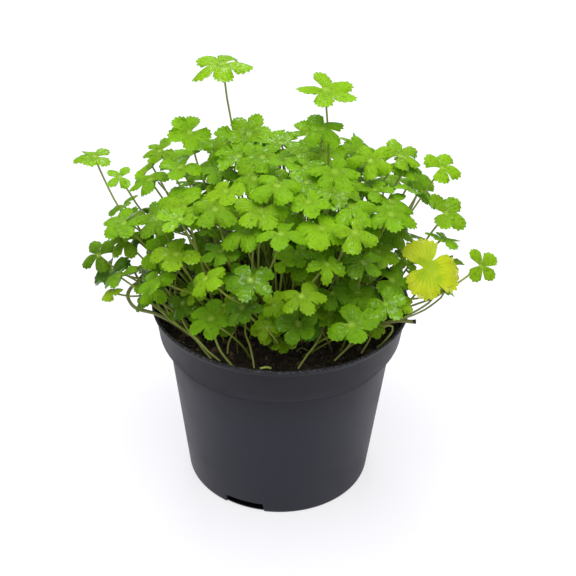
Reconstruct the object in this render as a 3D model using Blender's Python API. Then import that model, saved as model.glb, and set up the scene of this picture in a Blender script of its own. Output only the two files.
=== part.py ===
"""A dwarf pennywort growing in a 12 cm nursery pot.

The pieces are the pot, the plug of potting soil, two loose stems at the rim, and the plant, which is
a crowd of tufts. A tuft is one grown piece: a rooted knob of stem that lies on the soil, with one to
five leaf stalks, each carrying one lobed blade.

+Z is up, the ground is at z = 0 and the front is -Y. A bearing is an angle in degrees about the pot's
axis, 0 at the front and positive towards the right (+X). Lengths below are in millimetres.
"""

import math
import random
from typing import NamedTuple

import bmesh
import bpy
from mathutils import Matrix, Vector
from mathutils.bvhtree import BVHTree

MM = 0.001
GAP = 0.3
SEED = 12

# The pot: (radius, height) down the outer wall from the lip to the foot, then up the inner wall.
POT_SIDES = 48
POT_HEIGHT = 93.5
RIM_RADIUS = 60.0
FOOT_RADIUS = 43.5
POT_OUTER = [(59.6, 93.5), (60.0, 92.9), (59.6, 91.7), (58.4, 90.4), (56.4, 75.9), (52.3, 72.4),
             (44.3, 1.0), (FOOT_RADIUS, 0.0), (42.0, 0.0), (41.6, 3.6), (20.0, 4.4)]
POT_INNER = [(20.0, 5.7), (42.6, 5.0), (43.9, 6.4), (51.1, 73.2), (55.1, 76.7), (57.2, 90.6),
             (58.5, 93.5)]
FLOOR_UNDER, FLOOR_TOP = 4.6, 6.0
NOTCH_BEARINGS = [-21, 99, 219]
NOTCH_WIDTH, NOTCH_HEIGHT = 19.0, 3.4
DRAIN_HOLES, DRAIN_RING, DRAIN_RADIUS = 8, 31.0, 3.5

# The soil: its edge lies under the rim, and it heaps up towards the middle, the left and the back.
SOIL_SIDES = 36
SOIL_EDGE_HEIGHT = 85.5
SOIL_HEAP = 4.5
SOIL_RINGS = [12.0, 24.0, 35.0, 45.0, 52.0]
SOIL_WALL = [(56.0, 85.5), (54.4, 77.2), (50.6, 73.4), (43.3, 7.2)]
SOIL_FLOOR = 6.5

# The tufts.
TUFTS = 54
TUFT_SPREAD = 47.0
KNOB_RADIUS, KNOB_FLATNESS = 2.1, 0.75
LEAVES_PER_TUFT = 5
STALK_FOOT, STALK_TIP = 0.95, 0.78
BLADE_HALF_THICKNESS = 0.45
LEAF_SPREAD = 310.0

# The crowd of leaves fills shells of one squarish dome.
DOME_CENTRE = 100.0
DOME_HALF_WIDTH, DOME_HALF_DEPTH, DOME_RISE = 79.0, 69.0, 68.0
DOME_SQUARENESS = 3.0
FRONT_OPENING = 18.0
GOLDEN_ANGLE = math.degrees(math.pi * (3 - math.sqrt(5)))


class Leaf(NamedTuple):
    """One leaf: where its stalk meets the blade, and how the blade is held."""

    bearing: float
    reach: float
    height: float
    width: float
    lobes: int = 5
    lean: float = 0.0
    toward: float = 0.0


# Leaves with a place of their own: the tall ones, the edge of the crowd and the low front.
YELLOW_LEAF = Leaf(65, 73, 128, 28, 3, 50, 20)
PLACED_LEAVES = [
    Leaf(-110, 28, 202, 25, 5, 12, 40), Leaf(105, 19, 195, 25, 5, 5, 0), Leaf(75, 17, 180, 22, 4, 5, 0),
    Leaf(-103, 88, 154, 20, 5, 12, 180), Leaf(-94, 72, 152, 15, 4, 25, 0), Leaf(-105, 58, 163, 17, 5, 10, -60),
    Leaf(-97, 41, 175, 21, 5, 20, 20), Leaf(-110, 16, 174, 22, 5, 30, 0), Leaf(-120, 30, 165, 20, 5, 10, 0),
    Leaf(170, 25, 160, 23, 4, 10, 180), Leaf(120, 40, 163, 20, 5, 10, 60), Leaf(100, 52, 164, 22, 5, 10, 90),
    Leaf(85, 38, 166, 22, 5, 12, 0), Leaf(94, 70, 160, 19, 4, 30, 20), Leaf(86, 72, 143, 23, 4, 35, 30),
    Leaf(77, 90, 125, 19, 4, 35, 40), Leaf(84, 76, 118, 17, 4, 10, 90), Leaf(-78, 70, 141, 22, 5, 15, -40),
    Leaf(-87, 83, 118, 21, 4, 30, -50), Leaf(-79, 78, 105, 13, 3, 20, -90), Leaf(-62, 63, 116, 22, 5, 20, -30),
    Leaf(-46, 51, 110, 18, 4, 25, -30), Leaf(-30, 45, 104, 17, 3, 20, -30), Leaf(-21, 49, 132, 17, 5, 30, 0),
    Leaf(0, 46, 114, 20, 3, 15, 0), Leaf(2, 48, 100, 14, 5, 15, 0), Leaf(37, 56, 140, 21, 4, 20, 20),
    Leaf(38, 54, 123, 24, 4, 15, 0), Leaf(27, 48, 113, 19, 4, 30, 60), Leaf(47, 57, 102, 12, 3, 30, 40),
    Leaf(-60, 30, 153, 24, 5, 25, -20), Leaf(0, 21, 148, 23, 4, 30, 10), Leaf(70, 29, 156, 25, 5, 12, 0),
    Leaf(12, 36, 133, 20, 4, 20, 0), Leaf(-68, 48, 152, 24, 5, 25, -30), Leaf(-64, 58, 132, 22, 4, 35, -20),
    Leaf(55, 62, 123, 20, 5, 25, 40), Leaf(68, 53, 140, 20, 5, 20, 40),
    Leaf(176, 68, 120, 21, 5, 25, 180), Leaf(150, 62, 152, 20, 5, 20, 150), Leaf(-150, 60, 155, 22, 4, 20, -150),
    Leaf(-10, 66, 142, 22, 5, 25, -10), Leaf(-170, 50, 160, 20, 5, 10, 180),
]

# The crowd: (how many leaves, size of the shell, lowest height, widths).
CROWD = [(110, 0.97, 104, (18, 25)), (62, 0.80, 108, (16, 23)), (44, 0.58, 100, (12, 18))]


def clear_scene():
    for leftover in list(bpy.data.objects):
        bpy.data.objects.remove(leftover, do_unlink=True)


def material(name, colour, roughness):
    made = bpy.data.materials.new(name)
    made.use_nodes = True
    shader = made.node_tree.nodes["Principled BSDF"]
    shader.inputs["Base Color"].default_value = (*colour, 1.0)
    shader.inputs["Roughness"].default_value = roughness
    shader.inputs["Metallic"].default_value = 0.0
    return made


def heading(bearing):
    """The level direction of a bearing."""
    angle = math.radians(bearing)
    return Vector((math.sin(angle), -math.cos(angle), 0.0))


def add_object(name, mesh, finish):
    mesh.materials.append(finish)
    placed = bpy.data.objects.new(name, mesh)
    bpy.context.scene.collection.objects.link(placed)
    return placed


def mesh_from(name, form):
    """Turns a bmesh in millimetres into a mesh in metres."""
    bmesh.ops.scale(form, vec=(MM, MM, MM), verts=form.verts)
    mesh = bpy.data.meshes.new(name)
    form.to_mesh(mesh)
    form.free()
    return mesh


def smooth(mesh, angle=35):
    mesh.shade_smooth()
    mesh.set_sharp_from_angle(angle=math.radians(angle))


# ---------------------------------------------------------------------------------------------- pot

def turned(profile, sides):
    """A closed turned shape from a profile whose two ends lie on the axis."""
    form = bmesh.new()
    points = [form.verts.new((radius, 0.0, height)) for radius, height in profile]
    edges = [form.edges.new(pair) for pair in zip(points, points[1:])]
    bmesh.ops.spin(form, geom=points + edges, cent=(0, 0, 0), axis=(0, 0, 1),
                   angle=math.tau, steps=sides)
    bmesh.ops.remove_doubles(form, verts=form.verts, dist=0.001)
    bmesh.ops.recalc_face_normals(form, faces=form.faces)
    return form


def cutter(name, form, target):
    """A hidden tool that is cut out of the target."""
    tool = bpy.data.objects.new(name, mesh_from(name, form))
    bpy.context.scene.collection.objects.link(tool)
    tool.hide_render = True
    tool.display_type = "WIRE"
    cut = target.modifiers.new(name, "BOOLEAN")
    cut.operation = "DIFFERENCE"
    cut.solver = "EXACT"
    cut.object = tool


def notch_tool():
    """Three low blocks through the foot ring."""
    form = bmesh.new()
    for bearing in NOTCH_BEARINGS:
        made = bmesh.ops.create_cube(form, size=1.0)["verts"]
        bmesh.ops.scale(form, vec=(NOTCH_WIDTH, 8.0, 2 * NOTCH_HEIGHT), verts=made)
        bmesh.ops.translate(form, vec=(0, -FOOT_RADIUS, 0), verts=made)
        bmesh.ops.rotate(form, matrix=Matrix.Rotation(math.radians(bearing), 3, "Z"), verts=made)
    return form


def drain_tool():
    """Round holes in the floor, one in the middle and the others in a ring."""
    form = bmesh.new()
    places = [Vector((0, 0, 0))]
    places += [heading(360 * k / DRAIN_HOLES + 10) * DRAIN_RING for k in range(DRAIN_HOLES)]
    for place in places:
        made = bmesh.ops.create_cone(form, cap_ends=True, segments=12, radius1=DRAIN_RADIUS,
                                     radius2=DRAIN_RADIUS, depth=10.0)["verts"]
        bmesh.ops.translate(form, vec=place + Vector((0, 0, 5.0)), verts=made)
    return form


def build_pot(finish):
    profile = [(0.0, FLOOR_TOP)] + POT_INNER + POT_OUTER + [(0.0, FLOOR_UNDER)]
    pot = add_object("pot", mesh_from("pot", turned(profile, POT_SIDES)), finish)
    smooth(pot.data)
    cutter("foot_notches", notch_tool(), pot)
    cutter("drain_holes", drain_tool(), pot)
    return pot


# --------------------------------------------------------------------------------------------- soil

def soil_height(place):
    """Height of the soil's top at a place, with low, soft waves."""
    reach = math.hypot(place.x, place.y)
    heap = SOIL_HEAP * (1 - (reach / 58.0) ** 2)
    tilt = (-0.9 * place.x + 0.7 * place.y) / 58.0
    waves = 0.6 * math.sin(0.21 * place.x + 1.0) * math.cos(0.17 * place.y - 0.4)
    return SOIL_EDGE_HEIGHT + heap + (tilt + waves) * min(1.0, (56.0 - min(reach, 56.0)) / 8.0)


def build_soil(finish):
    form = bmesh.new()
    step = 360.0 / SOIL_SIDES
    rings = []
    for reach in SOIL_RINGS:
        spots = [heading(step * k) * reach for k in range(SOIL_SIDES)]
        rings.append([form.verts.new((s.x, s.y, soil_height(s))) for s in spots])
    for reach, height in SOIL_WALL:
        spots = [heading(step * k) * reach for k in range(SOIL_SIDES)]
        rings.append([form.verts.new((s.x, s.y, height)) for s in spots])
    top = form.verts.new((0, 0, soil_height(Vector((0, 0, 0)))))
    bottom = form.verts.new((0, 0, SOIL_FLOOR))
    for k in range(SOIL_SIDES):
        after = (k + 1) % SOIL_SIDES
        form.faces.new((top, rings[0][k], rings[0][after]))
        form.faces.new((bottom, rings[-1][after], rings[-1][k]))
        for inner, outer in zip(rings, rings[1:]):
            form.faces.new((inner[k], outer[k], outer[after], inner[after]))
    bmesh.ops.recalc_face_normals(form, faces=form.faces)
    soil = add_object("potting_soil", mesh_from("potting_soil", form), finish)
    smooth(soil.data)
    return soil


# --------------------------------------------------------------------------------- stems and leaves

def bend(points, count):
    """Points along the cubic curve that four control points give."""
    a, b, c, d = points
    path = []
    for k in range(count + 1):
        t = k / count
        s = 1 - t
        path.append(a * s**3 + b * 3 * s * s * t + c * 3 * s * t * t + d * t**3)
    return path


def tangent(path, k):
    return (path[min(k + 1, len(path) - 1)] - path[max(k - 1, 0)]).normalized()


def rings_along(path, spokes, radii):
    """Rings of points along a path, turned with it and never twisted. spokes lie around path[0]."""
    rings, along = [], tangent(path, 0)
    for k in range(1, len(path)):
        ahead = tangent(path, k)
        turn = along.rotation_difference(ahead)
        spokes = [turn @ spoke for spoke in spokes]
        along = ahead
        flat = [(s - ahead * s.dot(ahead)).normalized() * radii[k] for s in spokes]
        rings.append([path[k] + spoke for spoke in flat])
    return rings


def rim_of_blade(leaf, tip_bearing, rng):
    """The blade's frame and its outline, anticlockwise from above: (angle, distance, rise)."""
    spacing = LEAF_SPREAD / leaf.lobes
    first = -spacing * (leaf.lobes - 1) / 2
    half = leaf.width / 2
    cup, saddle = rng.uniform(-0.10, 0.16), rng.uniform(-0.06, 0.06)
    corners = (-0.34, 0.0, 0.34) if leaf.lobes == 3 else (-0.33, 0.33)
    outline = []
    for k in range(leaf.lobes):
        middle = first + spacing * k
        length = half * (1.0 - 0.10 * abs(middle) / 180) * rng.uniform(0.94, 1.04)
        for corner in corners:
            outline.append((middle + corner * spacing, length * (1.0 if corner == 0 else 0.95)))
        if k < leaf.lobes - 1:
            outline.append((middle + 0.5 * spacing, 0.40 * half))
    outline.append((180.0, max(0.18 * half, 1.9)))
    rim = []
    for angle, distance in outline:
        far = distance / half
        rise = half * (cup * far**2 + saddle * far**2 * math.cos(2 * math.radians(angle)))
        rim.append((math.radians(angle), distance, rise + rng.uniform(-0.25, 0.25)))
    up = (Vector((0, 0, 1)) * math.cos(math.radians(leaf.lean))
          + heading(leaf.toward) * math.sin(math.radians(leaf.lean)))
    tip = heading(tip_bearing)
    tip = (tip - up * tip.dot(up)).normalized()
    return up, tip, up.cross(tip), rim


class Shoot:
    """The points and faces of one stalk with its blade, before it is joined to its knob."""

    def __init__(self, leaf, facet, rng, extra=0.0):
        self.facet = facet
        start = sum(facet, Vector()) / 3
        outward = (facet[1] - facet[0]).cross(facet[2] - facet[0]).normalized()
        up, ahead, left, rim = rim_of_blade(leaf, leaf.bearing + rng.uniform(-50, 50), rng)
        hub = heading(leaf.bearing) * leaf.reach + Vector((0, 0, leaf.height))
        end = hub - up * BLADE_HALF_THICKNESS
        straight = end - start
        length = straight.length
        line = straight.normalized()
        side = line.cross(Vector((0, 0, 1))).normalized() * rng.uniform(-0.07, 0.07) * length
        leave = (outward * 0.5 + line * 0.4 + Vector((0, 0, 0.45))).normalized()
        arrive = (up * 0.4 + line * 0.8).normalized()
        count = 3 if length < 35 else 4
        path = bend((start, start + leave * length * 0.35 + side, end - arrive * length * 0.3 + side, end),
                    count)
        radii = [STALK_FOOT + (STALK_TIP - STALK_FOOT) * k / count + extra for k in range(count + 1)]
        self.rings = rings_along(path, [corner - start for corner in facet], radii)
        spoke = self.rings[-1][0] - end
        turn = math.atan2(spoke.dot(left), spoke.dot(ahead))
        spread = [turn + math.tau * k / 3 for k in range(3)]
        self.rings[-1] = [end + (ahead * math.cos(a) + left * math.sin(a)) * radii[-1] for a in spread]
        self.hub = hub + up * BLADE_HALF_THICKNESS
        self.up = up
        self.rim = [hub + (ahead * math.cos(a) + left * math.sin(a)) * (far + extra) + up * rise
                    for a, far, rise in rim]
        self.nearest = [min(range(3), key=lambda k: -math.cos(a - spread[k])) for a, far, rise in rim]

    def build(self, first_ring, points, faces):
        """Adds the stalk and blade to lists. first_ring holds the numbers of the ring it grows from."""
        below = first_ring
        for ring in self.rings:
            above = list(range(len(points), len(points) + 3))
            points.extend(ring)
            for k in range(3):
                faces.append((below[k], below[(k + 1) % 3], above[(k + 1) % 3], above[k]))
            below = above
        hub = len(points)
        points.append(self.hub)
        rim = list(range(len(points), len(points) + len(self.rim)))
        points.extend(self.rim)
        for k, here in enumerate(rim):
            after = (k + 1) % len(rim)
            faces.append((hub, here, rim[after]))
            faces.append((below[self.nearest[k]], rim[after], here))
            if self.nearest[k] != self.nearest[after]:
                faces.append((below[self.nearest[k]], below[self.nearest[after]], rim[after]))

    def surface(self, skip=0, lift=0.0):
        """A search tree of the stalk from ring number skip up, with the blade moved by lift."""
        points, faces = [], []
        if skip == 0:
            points.extend(self.facet)
            rings = self.rings
        else:
            points.extend(self.rings[skip - 1])
            rings = self.rings[skip:]
        whole, self.rings = self.rings, rings
        self.build([0, 1, 2], points, faces)
        self.rings = whole
        if lift:
            moved = len(self.rim) + 1
            points[-moved:] = [point + self.up * lift for point in points[-moved:]]
        return BVHTree.FromPolygons(points, faces), points


class Placed(NamedTuple):
    """A solid that stands already: its search tree, its box, and the tuft that it belongs to."""

    tree: BVHTree
    low: Vector
    high: Vector
    tuft: int


def placed(tree, points, tuft=-1):
    low = Vector(min(p[axis] for p in points) for axis in range(3))
    high = Vector(max(p[axis] for p in points) for axis in range(3))
    return Placed(tree, low, high, tuft)


def tree_of(thing):
    """The search tree, in millimetres, of an object as it is evaluated."""
    graph = bpy.context.evaluated_depsgraph_get()
    shown = thing.evaluated_get(graph)
    mesh = shown.to_mesh()
    points = [vert.co / MM for vert in mesh.vertices]
    faces = [tuple(polygon.vertices) for polygon in mesh.polygons]
    shown.to_mesh_clear()
    return BVHTree.FromPolygons(points, faces), points


class Crowd:
    """Everything that a new shoot has to stay clear of."""

    def __init__(self):
        self.whole = []
        self.upper = []

    def add(self, tree, points, tuft=-1):
        self.whole.append(placed(tree, points, tuft))

    def add_shoot(self, shoot, tuft):
        self.add(*shoot.surface(), tuft=tuft)
        self.upper.append(placed(*shoot.surface(skip=1), tuft=tuft))

    def is_clear(self, guards, tuft):
        """guards are (tree, box) pairs: first the whole shoot's, then the shoot's without its foot."""
        for guard, trimmed in guards:
            others = [solid for solid in self.whole if solid.tuft != tuft]
            mates = [solid for solid in self.upper if solid.tuft == tuft]
            for mine, solids in ((guard, others), (trimmed, mates)):
                for solid in solids:
                    apart = any(mine.low[k] > solid.high[k] or mine.high[k] < solid.low[k]
                                for k in range(3))
                    if not apart and mine.tree.overlap(solid.tree):
                        return False
        return True


class Tuft:
    """A rooted knob with its shoots."""

    def __init__(self, number, place):
        self.number = number
        self.place = place
        form = bmesh.new()
        bmesh.ops.create_icosphere(form, subdivisions=1, radius=KNOB_RADIUS)
        bmesh.ops.scale(form, vec=(1, 1, KNOB_FLATNESS), verts=form.verts)
        bmesh.ops.translate(form, vec=place, verts=form.verts)
        self.points = [vert.co.copy() for vert in form.verts]
        self.faces = [tuple(vert.index for vert in face.verts) for face in form.faces]
        self.free = [face for face in self.faces if self.outward(face).z > 0.15]
        self.shoots = 0
        form.free()

    def outward(self, face):
        a, b, c = (self.points[k] for k in face)
        return (b - a).cross(c - a).normalized()

    def tree(self):
        return BVHTree.FromPolygons(self.points, self.faces), list(self.points)

    def best_face(self, goal):
        """The free upper face that looks most towards a goal."""
        way = (goal - self.place).normalized() + Vector((0, 0, 0.6))
        return max(self.free, key=lambda face: self.outward(face).dot(way))

    def grow(self, shoot, face):
        self.faces.remove(face)
        shoot.build(list(face), self.points, self.faces)
        corners = set(face)
        self.free = [other for other in self.free if len(corners & set(other)) < 2]
        self.shoots += 1

    def mesh(self, name):
        form = bmesh.new()
        verts = [form.verts.new(point) for point in self.points]
        for face in self.faces:
            form.faces.new([verts[k] for k in face])
        bmesh.ops.triangulate(form, faces=form.faces)
        return mesh_from(name, form)


def settle(points, ground):
    """How far points have to come down to lie GAP above the ground."""
    drops = [ground.ray_cast(point, Vector((0, 0, -1)))[3] for point in points]
    return min(drop for drop in drops if drop is not None) - GAP


def plant_knobs(ground):
    """The rooted knobs, spread over the soil like the seeds of a sunflower."""
    tufts = []
    for k in range(TUFTS):
        spot = heading(k * GOLDEN_ANGLE) * TUFT_SPREAD * math.sqrt((k + 0.6) / TUFTS)
        tuft = Tuft(k, Vector((spot.x, spot.y, POT_HEIGHT + 20)))
        drop = Vector((0, 0, -settle(tuft.points, ground)))
        tuft.points = [point + drop for point in tuft.points]
        tuft.place += drop
        tufts.append(tuft)
    return tufts


def try_leaf(leaf, tufts, crowd, rng, tries, freedom):
    """Grows one leaf from one of the nearest tufts with room, if it finds a clear way."""
    goal = heading(leaf.bearing) * leaf.reach
    root = goal * 0.5 if leaf.reach < 70 else goal.normalized() * 40
    for attempt in range(tries):
        loose = freedom * (0.3 + attempt / tries)
        tuned = leaf._replace(
            bearing=leaf.bearing + math.degrees(rng.uniform(-loose, loose) / max(leaf.reach, 15)),
            reach=leaf.reach + rng.uniform(-loose, loose) * 0.5,
            height=leaf.height + rng.uniform(-loose, loose) * 0.7,
            lean=leaf.lean + rng.uniform(-1.5, 1.5) * loose)
        open_tufts = [tuft for tuft in tufts if tuft.shoots < LEAVES_PER_TUFT and tuft.free]
        open_tufts.sort(key=lambda tuft: (tuft.place.xy - root.xy).length + 2.5 * tuft.shoots)
        tuft = open_tufts[min(rng.randrange(4), len(open_tufts) - 1)]
        face = tuft.best_face(goal + Vector((0, 0, leaf.height)))
        facet = [tuft.points[k] for k in face]
        state = rng.getstate()
        shoot = Shoot(tuned, facet, rng)
        rng.setstate(state)
        guard = Shoot(tuned, facet, rng, extra=GAP)
        guards = [(placed(*guard.surface(lift=lift)), placed(*guard.surface(skip=1, lift=lift)))
                  for lift in (-GAP, GAP)]
        if crowd.is_clear(guards, tuft.number):
            tuft.grow(shoot, face)
            crowd.add_shoot(shoot, tuft.number)
            return tuft
    return None


def dome_leaf(count, k, size, lowest, widths, rng):
    """Leaf k of one shell of the dome."""
    bearing = k * GOLDEN_ANGLE + rng.uniform(-8, 8)
    level = (k + 0.5) / count
    climb = math.pi / 2 * level**0.9 * rng.uniform(0.93, 1.0)
    power = 2 / DOME_SQUARENESS
    out = size * math.cos(climb) ** power * rng.uniform(0.93, 1.03)
    way = heading(bearing)
    reach = out * math.hypot(DOME_HALF_WIDTH * way.x, DOME_HALF_DEPTH * way.y)
    rise = size * DOME_RISE * math.sin(climb) ** power
    open_front = FRONT_OPENING * max(0.0, math.cos(math.radians(bearing))) * reach / DOME_HALF_DEPTH
    height = max(lowest + open_front, DOME_CENTRE + rise + rng.uniform(-5, 5))
    lean = 4 + 34 * (reach / 80) ** 2 + rng.uniform(-12, 12)
    lobes = rng.choice((4, 5, 5, 5)) if rng.uniform(*widths) > 16 else rng.choice((3, 4, 5))
    return Leaf(bearing, reach, height, rng.uniform(*widths), lobes, lean, bearing + rng.uniform(-50, 50))


def crowd_leaves(rng):
    """All shells of the dome, outer leaves first."""
    leaves = []
    for count, size, lowest, widths in CROWD:
        shell = [dome_leaf(count, k, size, lowest, widths, rng) for k in range(count)]
        rng.shuffle(shell)
        leaves.extend(shell)
    return leaves


# ------------------------------------------------------------------------------- stems over the rim

RUNNER_LEFT = [(-41, -25, 91), (-48, -24, 97), (-57, -20, 99.5), (-66, -15, 99), (-70, -9, 102),
               (-66, -4, 105.5), (-57, -2, 103.5), (-48, -4, 96), (-43, -5, 92)]
DEAD_STALK = [(34, -24, 91), (40, -25, 96.5), (49, -26, 99.5), (57, -27, 99), (64, -28, 96.5)]
RUNNER_RADIUS, DEAD_STALK_RADIUS = 0.85, 0.8


def loose_stem(name, route, radius, finish, ground):
    """A round stem along a route, let down until it lies just above the soil."""
    path = []
    points = [Vector(point) for point in route]
    guides = [points[0]] + points + [points[-1]]
    for a, b, c, d in zip(guides, guides[1:], guides[2:], guides[3:]):
        for t in (0.0, 0.5):
            path.append(0.5 * (2 * b + (c - a) * t + (2 * a - 5 * b + 4 * c - d) * t * t
                               + (3 * b - a - 3 * c + d) * t**3))
    path.append(points[-1])
    along = tangent(path, 0)
    side = along.orthogonal().normalized()
    spokes = [side * math.cos(a) + along.cross(side) * math.sin(a)
              for a in (math.tau * k / 6 for k in range(6))]
    rings = [[path[0] + spoke * radius for spoke in spokes]]
    rings += rings_along(path, spokes, [radius] * len(path))
    form = bmesh.new()
    rows = [[form.verts.new(point) for point in ring] for ring in rings]
    for below, above in zip(rows, rows[1:]):
        for k in range(6):
            form.faces.new((below[k], below[(k + 1) % 6], above[(k + 1) % 6], above[k]))
    form.faces.new(reversed(rows[0]))
    form.faces.new(rows[-1])
    bmesh.ops.recalc_face_normals(form, faces=form.faces)
    ends = [vert.co for vert in rows[0] + rows[-1] if vert.co.xy.length < 52]
    bmesh.ops.translate(form, vec=(0, 0, -settle(ends, ground)), verts=form.verts)
    stem = add_object(name, mesh_from(name, form), finish)
    smooth(stem.data, 60)
    return stem


def build_plant(pot, soil, green, yellow, pale, straw):
    ground, ground_points = tree_of(soil)
    crowd = Crowd()
    crowd.add(ground, ground_points)
    crowd.add(*tree_of(pot))
    for stem in (loose_stem("runner_left", RUNNER_LEFT, RUNNER_RADIUS, pale, ground),
                 loose_stem("dead_stalk", DEAD_STALK, DEAD_STALK_RADIUS, straw, ground)):
        crowd.add(*tree_of(stem))
    rng = random.Random(SEED)
    tufts = plant_knobs(ground)
    for tuft in tufts:
        crowd.add(*tuft.tree(), tuft=tuft.number)
    golden = try_leaf(YELLOW_LEAF, tufts, crowd, rng, 60, 2.0)
    golden.shoots = LEAVES_PER_TUFT
    missed = 0
    for leaf in PLACED_LEAVES:
        missed += try_leaf(leaf, tufts, crowd, rng, 60, 4.0) is None
    for leaf in crowd_leaves(rng):
        missed += try_leaf(leaf, tufts, crowd, rng, 24, 7.0) is None
    print("leaves left out for want of room:", missed)
    grown = [tuft for tuft in tufts if tuft.shoots and tuft is not golden]
    for number, tuft in enumerate(grown, start=1):
        name = f"tuft_{number:02d}"
        add_object(name, tuft.mesh(name), green)
    add_object("yellow_leaf", golden.mesh("yellow_leaf"), yellow)
    print("tufts:", len(grown), "leaves:", sum(t.shoots for t in grown) + 1)


def main():
    clear_scene()
    pot = build_pot(material("black_plastic", (0.045, 0.044, 0.052), 0.5))
    soil = build_soil(material("peat", (0.018, 0.012, 0.008), 0.95))
    build_plant(pot, soil,
                green=material("leaf_green", (0.15, 0.42, 0.02), 0.4),
                yellow=material("leaf_yellow", (0.62, 0.66, 0.05), 0.45),
                pale=material("runner_pale", (0.38, 0.42, 0.14), 0.5),
                straw=material("stalk_straw", (0.30, 0.26, 0.10), 0.7))


main()
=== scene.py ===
"""The looks of a dwarf pennywort that grows in a nursery pot.

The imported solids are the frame: every stalk, blade and stem below is worked out from the solid that
it stands for. +Z is up, the ground is at z = 0, the front is -Y, and lengths are in metres.
"""

import logging
import math
import random
from dataclasses import dataclass, field, replace
from enum import Enum
from typing import Any, Optional, Sequence, Union

import bmesh
import bpy
import numpy as np
from mathutils import Matrix, Vector, noise
from mathutils.bvhtree import BVHTree


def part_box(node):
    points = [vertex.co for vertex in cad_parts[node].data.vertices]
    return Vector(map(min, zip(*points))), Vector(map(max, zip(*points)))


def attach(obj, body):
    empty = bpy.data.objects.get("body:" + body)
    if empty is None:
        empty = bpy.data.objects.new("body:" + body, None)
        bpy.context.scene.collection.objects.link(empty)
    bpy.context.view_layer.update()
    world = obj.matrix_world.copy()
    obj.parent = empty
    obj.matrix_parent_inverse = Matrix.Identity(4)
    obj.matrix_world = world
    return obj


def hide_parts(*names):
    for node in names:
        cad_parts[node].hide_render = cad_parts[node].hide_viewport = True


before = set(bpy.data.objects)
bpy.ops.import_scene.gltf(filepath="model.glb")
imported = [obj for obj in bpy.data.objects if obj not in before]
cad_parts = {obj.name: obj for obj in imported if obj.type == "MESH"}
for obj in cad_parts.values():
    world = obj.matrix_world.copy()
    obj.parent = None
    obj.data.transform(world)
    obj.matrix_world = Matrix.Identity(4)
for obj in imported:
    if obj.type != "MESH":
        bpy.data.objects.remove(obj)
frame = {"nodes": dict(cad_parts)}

MM = 0.001
MERGE = 0.01 * MM
Triple = tuple[float, float, float]
Colour = Triple
log = logging.getLogger("pennywort")


# ------------------------------------------------------------------------------------ node trees

class Wire:
    """An output socket that takes part in sums as a number does."""

    def __init__(self, graph: "Graph", socket: bpy.types.NodeSocket) -> None:
        """Wraps one output socket of a graph."""
        self.graph = graph
        self.socket = socket

    def sum(self, operation: str, *others: "Number") -> "Wire":
        """Adds a Math node whose first value is this wire.

        Args:
            operation: The Math node's operation.
            others: The node's other values, in order.

        Returns:
            The node's result.
        """
        return self.graph.maths(operation, self, *others)

    def __add__(self, other: "Number") -> "Wire":
        """self + other."""
        return self.sum("ADD", other)

    __radd__ = __add__

    def __sub__(self, other: "Number") -> "Wire":
        """self - other."""
        return self.sum("SUBTRACT", other)

    def __rsub__(self, other: "Number") -> "Wire":
        """other - self."""
        return self.graph.maths("SUBTRACT", other, self)

    def __mul__(self, other: "Number") -> "Wire":
        """self * other."""
        return self.sum("MULTIPLY", other)

    __rmul__ = __mul__

    def __truediv__(self, other: "Number") -> "Wire":
        """self / other."""
        return self.sum("DIVIDE", other)

    def __pow__(self, other: "Number") -> "Wire":
        """The wire to the power of other."""
        return self.sum("POWER", other)

    def __abs__(self) -> "Wire":
        """The size of the value without its sign."""
        return self.sum("ABSOLUTE")

    def part(self) -> "Wire":
        """What is left after the whole number."""
        return self.sum("FRACT")

    def within(self, low: float, high: float) -> "Wire":
        """0 at low and less, 1 at high and more, and a straight slope between them."""
        return self.graph.out("ShaderNodeMapRange", {}, {"Value": self, "From Min": low, "From Max": high})

    def softly(self, low: float, high: float) -> "Wire":
        """As within, with a soft start and end."""
        return self.graph.out("ShaderNodeMapRange", {"interpolation_type": "SMOOTHSTEP"},
                              {"Value": self, "From Min": low, "From Max": high})


Number = Union[float, Wire]


def socket_named(sockets: Sequence[bpy.types.NodeSocket], name: str) -> bpy.types.NodeSocket:
    """Finds a socket by its identifier or, failing that, by its name.

    Args:
        sockets: A node's inputs or outputs.
        name: The identifier or the name.

    Returns:
        The socket that is in use under that name.
    """
    by_key = [socket for socket in sockets if socket.identifier == name]
    by_name = [socket for socket in sockets if socket.name == name and socket.enabled]
    return (by_key + by_name)[0]


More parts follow.
